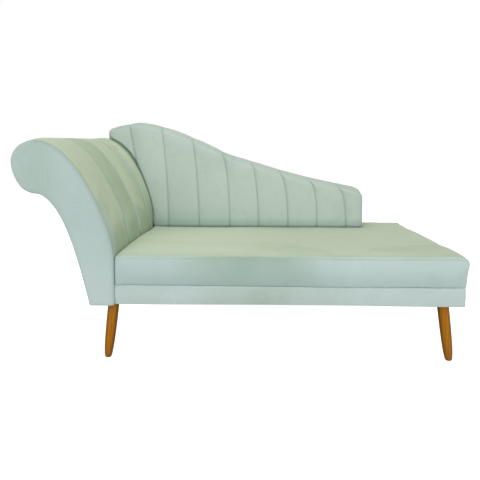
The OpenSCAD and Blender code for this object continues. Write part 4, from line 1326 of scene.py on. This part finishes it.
def border_band():
    """Padded band round the front, the open end and the rear."""
    r, t = 0.006, 0.005
    y = border_hi.y
    path = joined([[border_lo.x, -y]], arc([seat_x1 - r, -y + r], r, -90, 0, 8),
                  arc([seat_x1 - r, y - r], r, 0, 90, 8), [[border_lo.x, y]])
    path = resampled(path, 0.009)
    normal = right_of(path)
    at_end = smooth((path[:, 0] - 0.4) / 0.38)
    path[:, 0] += 0.004 * at_end
    z0, z1 = border_lo.z, border_hi.z
    high = z1 - z0
    section = [(-t, 0), (-0.003, 0), (-0.0012, 0.0008), (-0.0002, 0.003), (0.0006, 0.008)]
    mid = [(0.0006 + 0.0026 * math.sin(math.pi * k / 9), 0.008 + k / 9 * (high - 0.016)) for k in range(1, 9)]
    section = section + mid + [(d, high - h) for d, h in reversed(section)]
    lift = 0.004 * np.clip((0.3 - path[:, 0]) / 0.75, 0, 1)
    drop = 0.0028 * smooth((path[:, 0] - 0.35) / 0.35) + 0.0016 * smooth((0.1 - path[:, 0]) / 0.4)
    verts = []
    for d, h in section:
        out = d * (1 - 0.8 * at_end) if d > 0 else np.full(len(path), d)
        height = z0 + h + h / high * lift - (1 - h / high) * drop
        verts.append(np.c_[path + out[:, None] * normal, height])
    n, m = len(path), len(section)
    faces = grid_faces(m, n) + [((m - 1) * n + i, (m - 1) * n + i + 1, i + 1, i) for i in range(n - 1)]
    faces += [[j * n + i for j in range(m)] for i in (0, n - 1)]
    return mesh_piece("border_cover", np.concatenate(verts), faces)


# thickness of thin cloth, width of a strap, side of a leg plate
sheet_t = 0.0008
strap_w = 0.060
plate = 0.070


def dust_cloth_sheet():
    """Thin cloth stretched under the rails, cut out round the leg plates; with its flat size and area."""
    lo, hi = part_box("dust_cover")
    plates_lo, plates_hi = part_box("leg_plates")
    cut = 0.001
    x0, x1 = plates_lo.x + plate + cut, plates_hi.x - plate - cut
    y1 = plates_hi.y - plate - cut
    outline = np.array([(x0, lo.y), (x1, lo.y), (x1, -y1), (hi.x, -y1), (hi.x, y1), (x1, y1),
                        (x1, hi.y), (x0, hi.y), (x0, y1), (lo.x, y1), (lo.x, -y1), (x0, -y1)])
    area = (x1 - x0) * (hi.y - lo.y) + (hi.x - x1 + x0 - lo.x) * 2 * y1
    section = [(0, lo.z), (0, lo.z + sheet_t)]
    obj = upholstered("dust_cloth", rounded(outline, 0.002, 0.014), section, lying, 0.016)
    return obj, (hi.x - lo.x, hi.y - lo.y), area


def deck_sheet():
    """Thin cloth stretched over the webbing, with its flat size."""
    lo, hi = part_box("deck_cloth")
    outline = rounded(np.array([(lo.x, lo.y), (hi.x, lo.y), (hi.x, hi.y), (lo.x, hi.y)]), 0.003, 0.02)
    obj = upholstered("deck_sheet", outline, [(0, lo.z), (0, lo.z + sheet_t)], lying, 0.02)
    return obj, (hi.x - lo.x, hi.y - lo.y)


def straps(name, node, count, along_x):
    """Flat straps with rounded edges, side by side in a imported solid's box."""
    lo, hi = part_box(node)
    k, m = (0, 1) if along_x else (1, 0)
    edge, thick = 0.0008, hi.z - lo.z
    n = max(4, int((hi[k] - lo[k]) / 0.03))
    verts, faces = [], []
    for i in range(count):
        c = lo[m] + i * (hi[m] - lo[m] - strap_w) / (count - 1)
        d = c + strap_w
        cross = [(c + edge, lo.z), (d - edge, lo.z), (d, lo.z + thick / 2), (d - edge, lo.z + thick),
                 (c + edge, lo.z + thick), (c, lo.z + thick / 2)]
        base = len(verts)
        run = np.linspace(lo[k], hi[k], n + 1)
        verts += [(p, *q) if along_x else (q[0], p, q[1]) for p in run for q in cross]
        made = grid_faces(n + 1, 6, wrap=True) + [list(range(6)), [n * 6 + i for i in range(6)]]
        faces += [[base + v for v in f] for f in made]
    return mesh_piece(name, verts, faces)


def seat_foam_block():
    """Foam inside the seat's cover, cut out round the backrest."""
    lo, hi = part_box("seat_foam")
    x1, y1 = tail_x0 + 0.0143, back_y - GAP - 0.0143
    outline = np.array([(lo.x, lo.y), (hi.x, lo.y), (hi.x, hi.y), (x1, hi.y), (x1, y1), (lo.x, y1)])
    section = [(0.002, lo.z), (0, lo.z + 0.004), (0, hi.z - 0.006), (0.002, hi.z - 0.002), (0.006, hi.z)]
    return upholstered("seat_foam_block", rounded(outline, 0.008, 0.02), section, lying, 0.03)


def arm_foam_sheet():
    """Foam under the arm's pad."""
    path = arm_profile(0.015)
    depth = arm_pad_t + GAP
    ys = np.linspace(-arm_y, arm_y, 30)
    return band("arm_foam_sheet", [moved(path, -depth)] * len(ys), moved(path, -depth - 0.018), ys)


def back_foam_panel():
    """Foam under the back's pad."""
    lo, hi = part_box("back_foam")
    outline = rounded(under_crown(np.linspace(lo.x, hi.x, 80), back_floor), 0.004, 0.02)
    section = [(0.002, lo.y), (0, lo.y + 0.004), (0, hi.y - 0.004), (0.002, hi.y)]
    return upholstered("back_foam_panel", outline, section, standing, 0.03)


# Legs

foot_points = {mount["name"].replace("foot", "leg"): np.array(mount["pos_m"], float)
               for mount in frame["record"]["mounts"]}
foot_profile = [(0.0082, 0.0), (0.0100, 0.0010), (0.0112, 0.0030), (0.0124, 0.0065), (0.0131, 0.0098)]


def turned_leg(name, node):
    """Tapered leg with a rounded tip, splayed both ways."""
    lo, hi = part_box(node)
    high = hi.z
    foot = foot_points[node]
    out = math.tan(math.radians(5.6)) * high
    head = foot + [-math.copysign(out, lo.x + hi.x), -math.copysign(out, lo.y + hi.y), high]
    long = np.linalg.norm(head - foot)
    axis = (head - foot) / long
    side = np.cross(axis, [0, 0, 1.0])
    side /= np.linalg.norm(side)
    other = np.cross(axis, side)
    belly = cubic([0.0135, 0.013], [0.0180, 0.18 * long], [0.0196, 0.48 * long], [0.020, long - 0.002], 26)
    rows = foot_profile + [tuple(row) for row in belly] + [(0.020, long + 0.006)]
    n = 40
    turns = np.linspace(0, 2 * np.pi, n, endpoint=False)
    round_it = [np.cos(a) * side + np.sin(a) * other for a in turns]
    verts = np.array([foot + axis * h + r * way for r, h in rows for way in round_it])
    verts[:, 2] = np.clip(verts[:, 2], 0, high)
    last = (len(rows) - 1) * n
    faces = grid_faces(len(rows), n, wrap=True) + [list(range(n)), list(range(last, last + n))]
    return mesh_piece(name, verts, faces)


# Making

make_camera()
make_studio()

# One sage velvet: each piece's copy has its own cool front-lit and greener top-lit colours, painted light set
# to how that piece is lit
sage_cool, sage_warm, sage_deep = srgb(177, 194, 190), srgb(183, 194, 170), srgb(124, 147, 112)
# dark sage for painted shade in seams and creases
sage_crease_shade = srgb(78, 104, 88)
cloth_front = velvet("velvet_front", sage_cool, sage_warm, sage_deep, (0.35, 1.0), 0.0, edge=0.2)
# painted light: lighter towards the bottom of the facing; painted shade along its inner edge
cloth_facing = velvet(
    "velvet_facing", srgb(172, 189, 184), srgb(170, 186, 177), sage_deep, (0.5, 1.1), 0.4, edge=0.2,
    darker_patch=(-0.71, 0.12, 0.15, 0.9), shades=[(srgb(186, 202, 199), 0.6, ("Z", 0.55, 0.25))], crease_shade=0.26)
band_cool = srgb(184, 199, 196)
cloth_band = velvet("velvet_band", band_cool, band_cool, sage_deep, darker_patch=(0.06, 0.40, 0.28, 0.9))
# painted shade: darker low down towards the seat, beside the arm and in the crease along the seat; a darker
# top-lit colour against the crown's lamp light
cloth_back = velvet(
    "velvet_back", srgb(188, 201, 191), srgb(176, 189, 175), srgb(124, 148, 132), (0.2, 0.9), 0.2, 0.05,
    edge=0.10, darker_patch=(-0.29, 0.14, 0.08, 0.70), crease_shade=0.6,
    shades=[(srgb(152, 177, 170), 0.36, ("Z", 0.50, 0.39), ("X", 0.25, -0.25)),
            (srgb(160, 178, 165), 0.30, ("X", -0.44, -0.52)),
            (srgb(140, 162, 152), 0.42, ("Z", 0.43, 0.39)),
            (sage_crease_shade, 0.5, ("Z", 0.392, 0.379))])
# painted light: lighter on top towards the arm and cool along the front; painted shade lower down on the
# cushion and along the front seam
cloth_seat = velvet(
    "velvet_seat", srgb(182, 198, 194), sage_warm, sage_deep, (0.70, 1.0), 0.1, 0.06, (0.5, 1.5, 1),
    edge=0.15, darker_patch=(0.02, 0.36, 0.64, 0.9), front_lit_band=(-0.345, -0.265, 9.0), crease_shade=0.3,
    shades=[(srgb(148, 172, 168), 0.36, ("Z", 0.362, 0.285)),
            (srgb(160, 180, 176), 0.40, ("Y", -0.318, -0.334), ("X", 0.38, 0.10)),
            (srgb(197, 208, 185), 0.50, ("Y", -0.320, -0.260), ("X", 0.25, -0.15))])
# painted shade low down, in the seam grooves, along the front rim and in the crease beside the back; painted
# light: cool along the front; the darker second channel is the nap's own tone
cloth_arm = velvet(
    "velvet_arm", sage_cool, srgb(181, 193, 167), sage_deep, (0.30, 0.95), 0.9, 0.13, (1, 1.3, 0.5),
    to_front=1.1, edge=0.1, shadow=(0.500, 0.05, 0.40), seams=arm_seams, front_lit_band=(-0.325, -0.255, 0.57),
    shades=[(sage_deep, 0.28, ("Y", -0.142, -0.134), ("Y", 0.012, 0.004), ("Z", 0.45, 0.55)),
            (sage_crease_shade, 0.18, ("Y", -0.316, -0.328)),
            (sage_crease_shade, 0.9, ("Y", 0.193, 0.206), ("Y", 0.260, 0.235), ("X", lap_x + 0.004, lap_x + 0.040))])

seat = finished(seat_cover(), cloth_seat, "velvet", "seat_cushion")
arm = finished(arm_pad_cover(), cloth_arm, "velvet", "arm_pad")
facing_front = finished(arm_facing("arm_facing_front", True), cloth_facing, "velvet", "arm_front_facing")
facing_rear = finished(arm_facing("arm_facing_rear", False), cloth_facing, "velvet", "arm_rear_facing")
back = finished(back_pad_cover(), cloth_back, "velvet", "back_pad")
meet_arm(back)
boxing = finished(end_boxing(), cloth_front, "velvet", "back_end_boxing")
rear = finished(rear_cover(), cloth_front, "velvet", "back_rear_cover")
arm_cloth = finished(outside_cover(), cloth_front, "velvet", "arm_outside_cover")
border = finished(border_band(), cloth_band, "velvet", "base_border")
blown([(seat, seat_held(seat), 0.005), (arm, arm_held(arm), 0.004), (back, back_held(back), 0.004)])
rows, thread = stitch_tree(), sewing_thread()
for name, lines, seed, thick in (("seat_stitches", seat_seam_line(seat), 3, 0.0009),
                                 ("arm_stitches", arm_seam_lines(), 5, 0.0009),
                                 ("back_stitches", back_seam_lines(), 8, 0.0013)):
    sewn = stitches(name, lines, rows, thread, seed, thick)
    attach(sewn, "root")

wood_legs = lacquered_wood()
for where in ("front_left", "front_right", "rear_left", "rear_right"):
    finished(turned_leg("turned_leg_" + where, "leg_" + where), wood_legs, "lacquered_wood", "leg_" + where)

foam_mat = foam()
seat_core = finished(seat_foam_block(), foam_mat, "foam", "seat_foam")
arm_core = finished(arm_foam_sheet(), foam_mat, "foam", "arm_foam")
back_core = finished(back_foam_panel(), foam_mat, "foam", "back_foam")
jute = woven("jute_strap", srgb(196, 162, 108), srgb(140, 104, 60), 900)
finished(straps("webbing_straps_long", "webbing_long", 4, True), jute, "webbing", "webbing_long")
finished(straps("webbing_straps_cross", "webbing_cross", 9, False), jute, "webbing", "webbing_cross")
hessian = woven("hessian", srgb(192, 168, 124), srgb(136, 110, 72), 600)
deck, deck_flat = deck_sheet()
finished(deck, hessian, "deck_cloth", "deck_cloth")
dust, dust_flat, dust_area = dust_cloth_sheet()
finished(dust, woven("black_cloth", srgb(46, 46, 48), srgb(24, 24, 26), 2400), "dust_cloth", "dust_cover")

for mat, dressed in (
        (pine("pine_along", (0.08, 1, 1)),
         ("front_rail", "rear_rail", "webbing_ledger", "back_bottom_rail", "back_top_batten")),
        (pine("pine_across", (1, 0.08, 1)),
         ("arm_end_rail", "open_end_rail", "cross_rails_pair", "arm_bottom_rail", "arm_battens")),
        (pine("pine_upright", (1, 1, 0.08)), ("corner_blocks", "back_posts")),
        (plywood(), ("arm_front_rib", "arm_middle_rib", "arm_rear_rib", "back_wing_panel")),
        (hardboard(), ("arm_inner_board", "arm_outer_board", "back_board")),
        (zinc(),
         ("leg_plates", "leg_studs", "plate_screws", "dust_cover_staples", "arm_bolts", "back_bolts"))):
    for node in dressed:
        dress(node, mat)
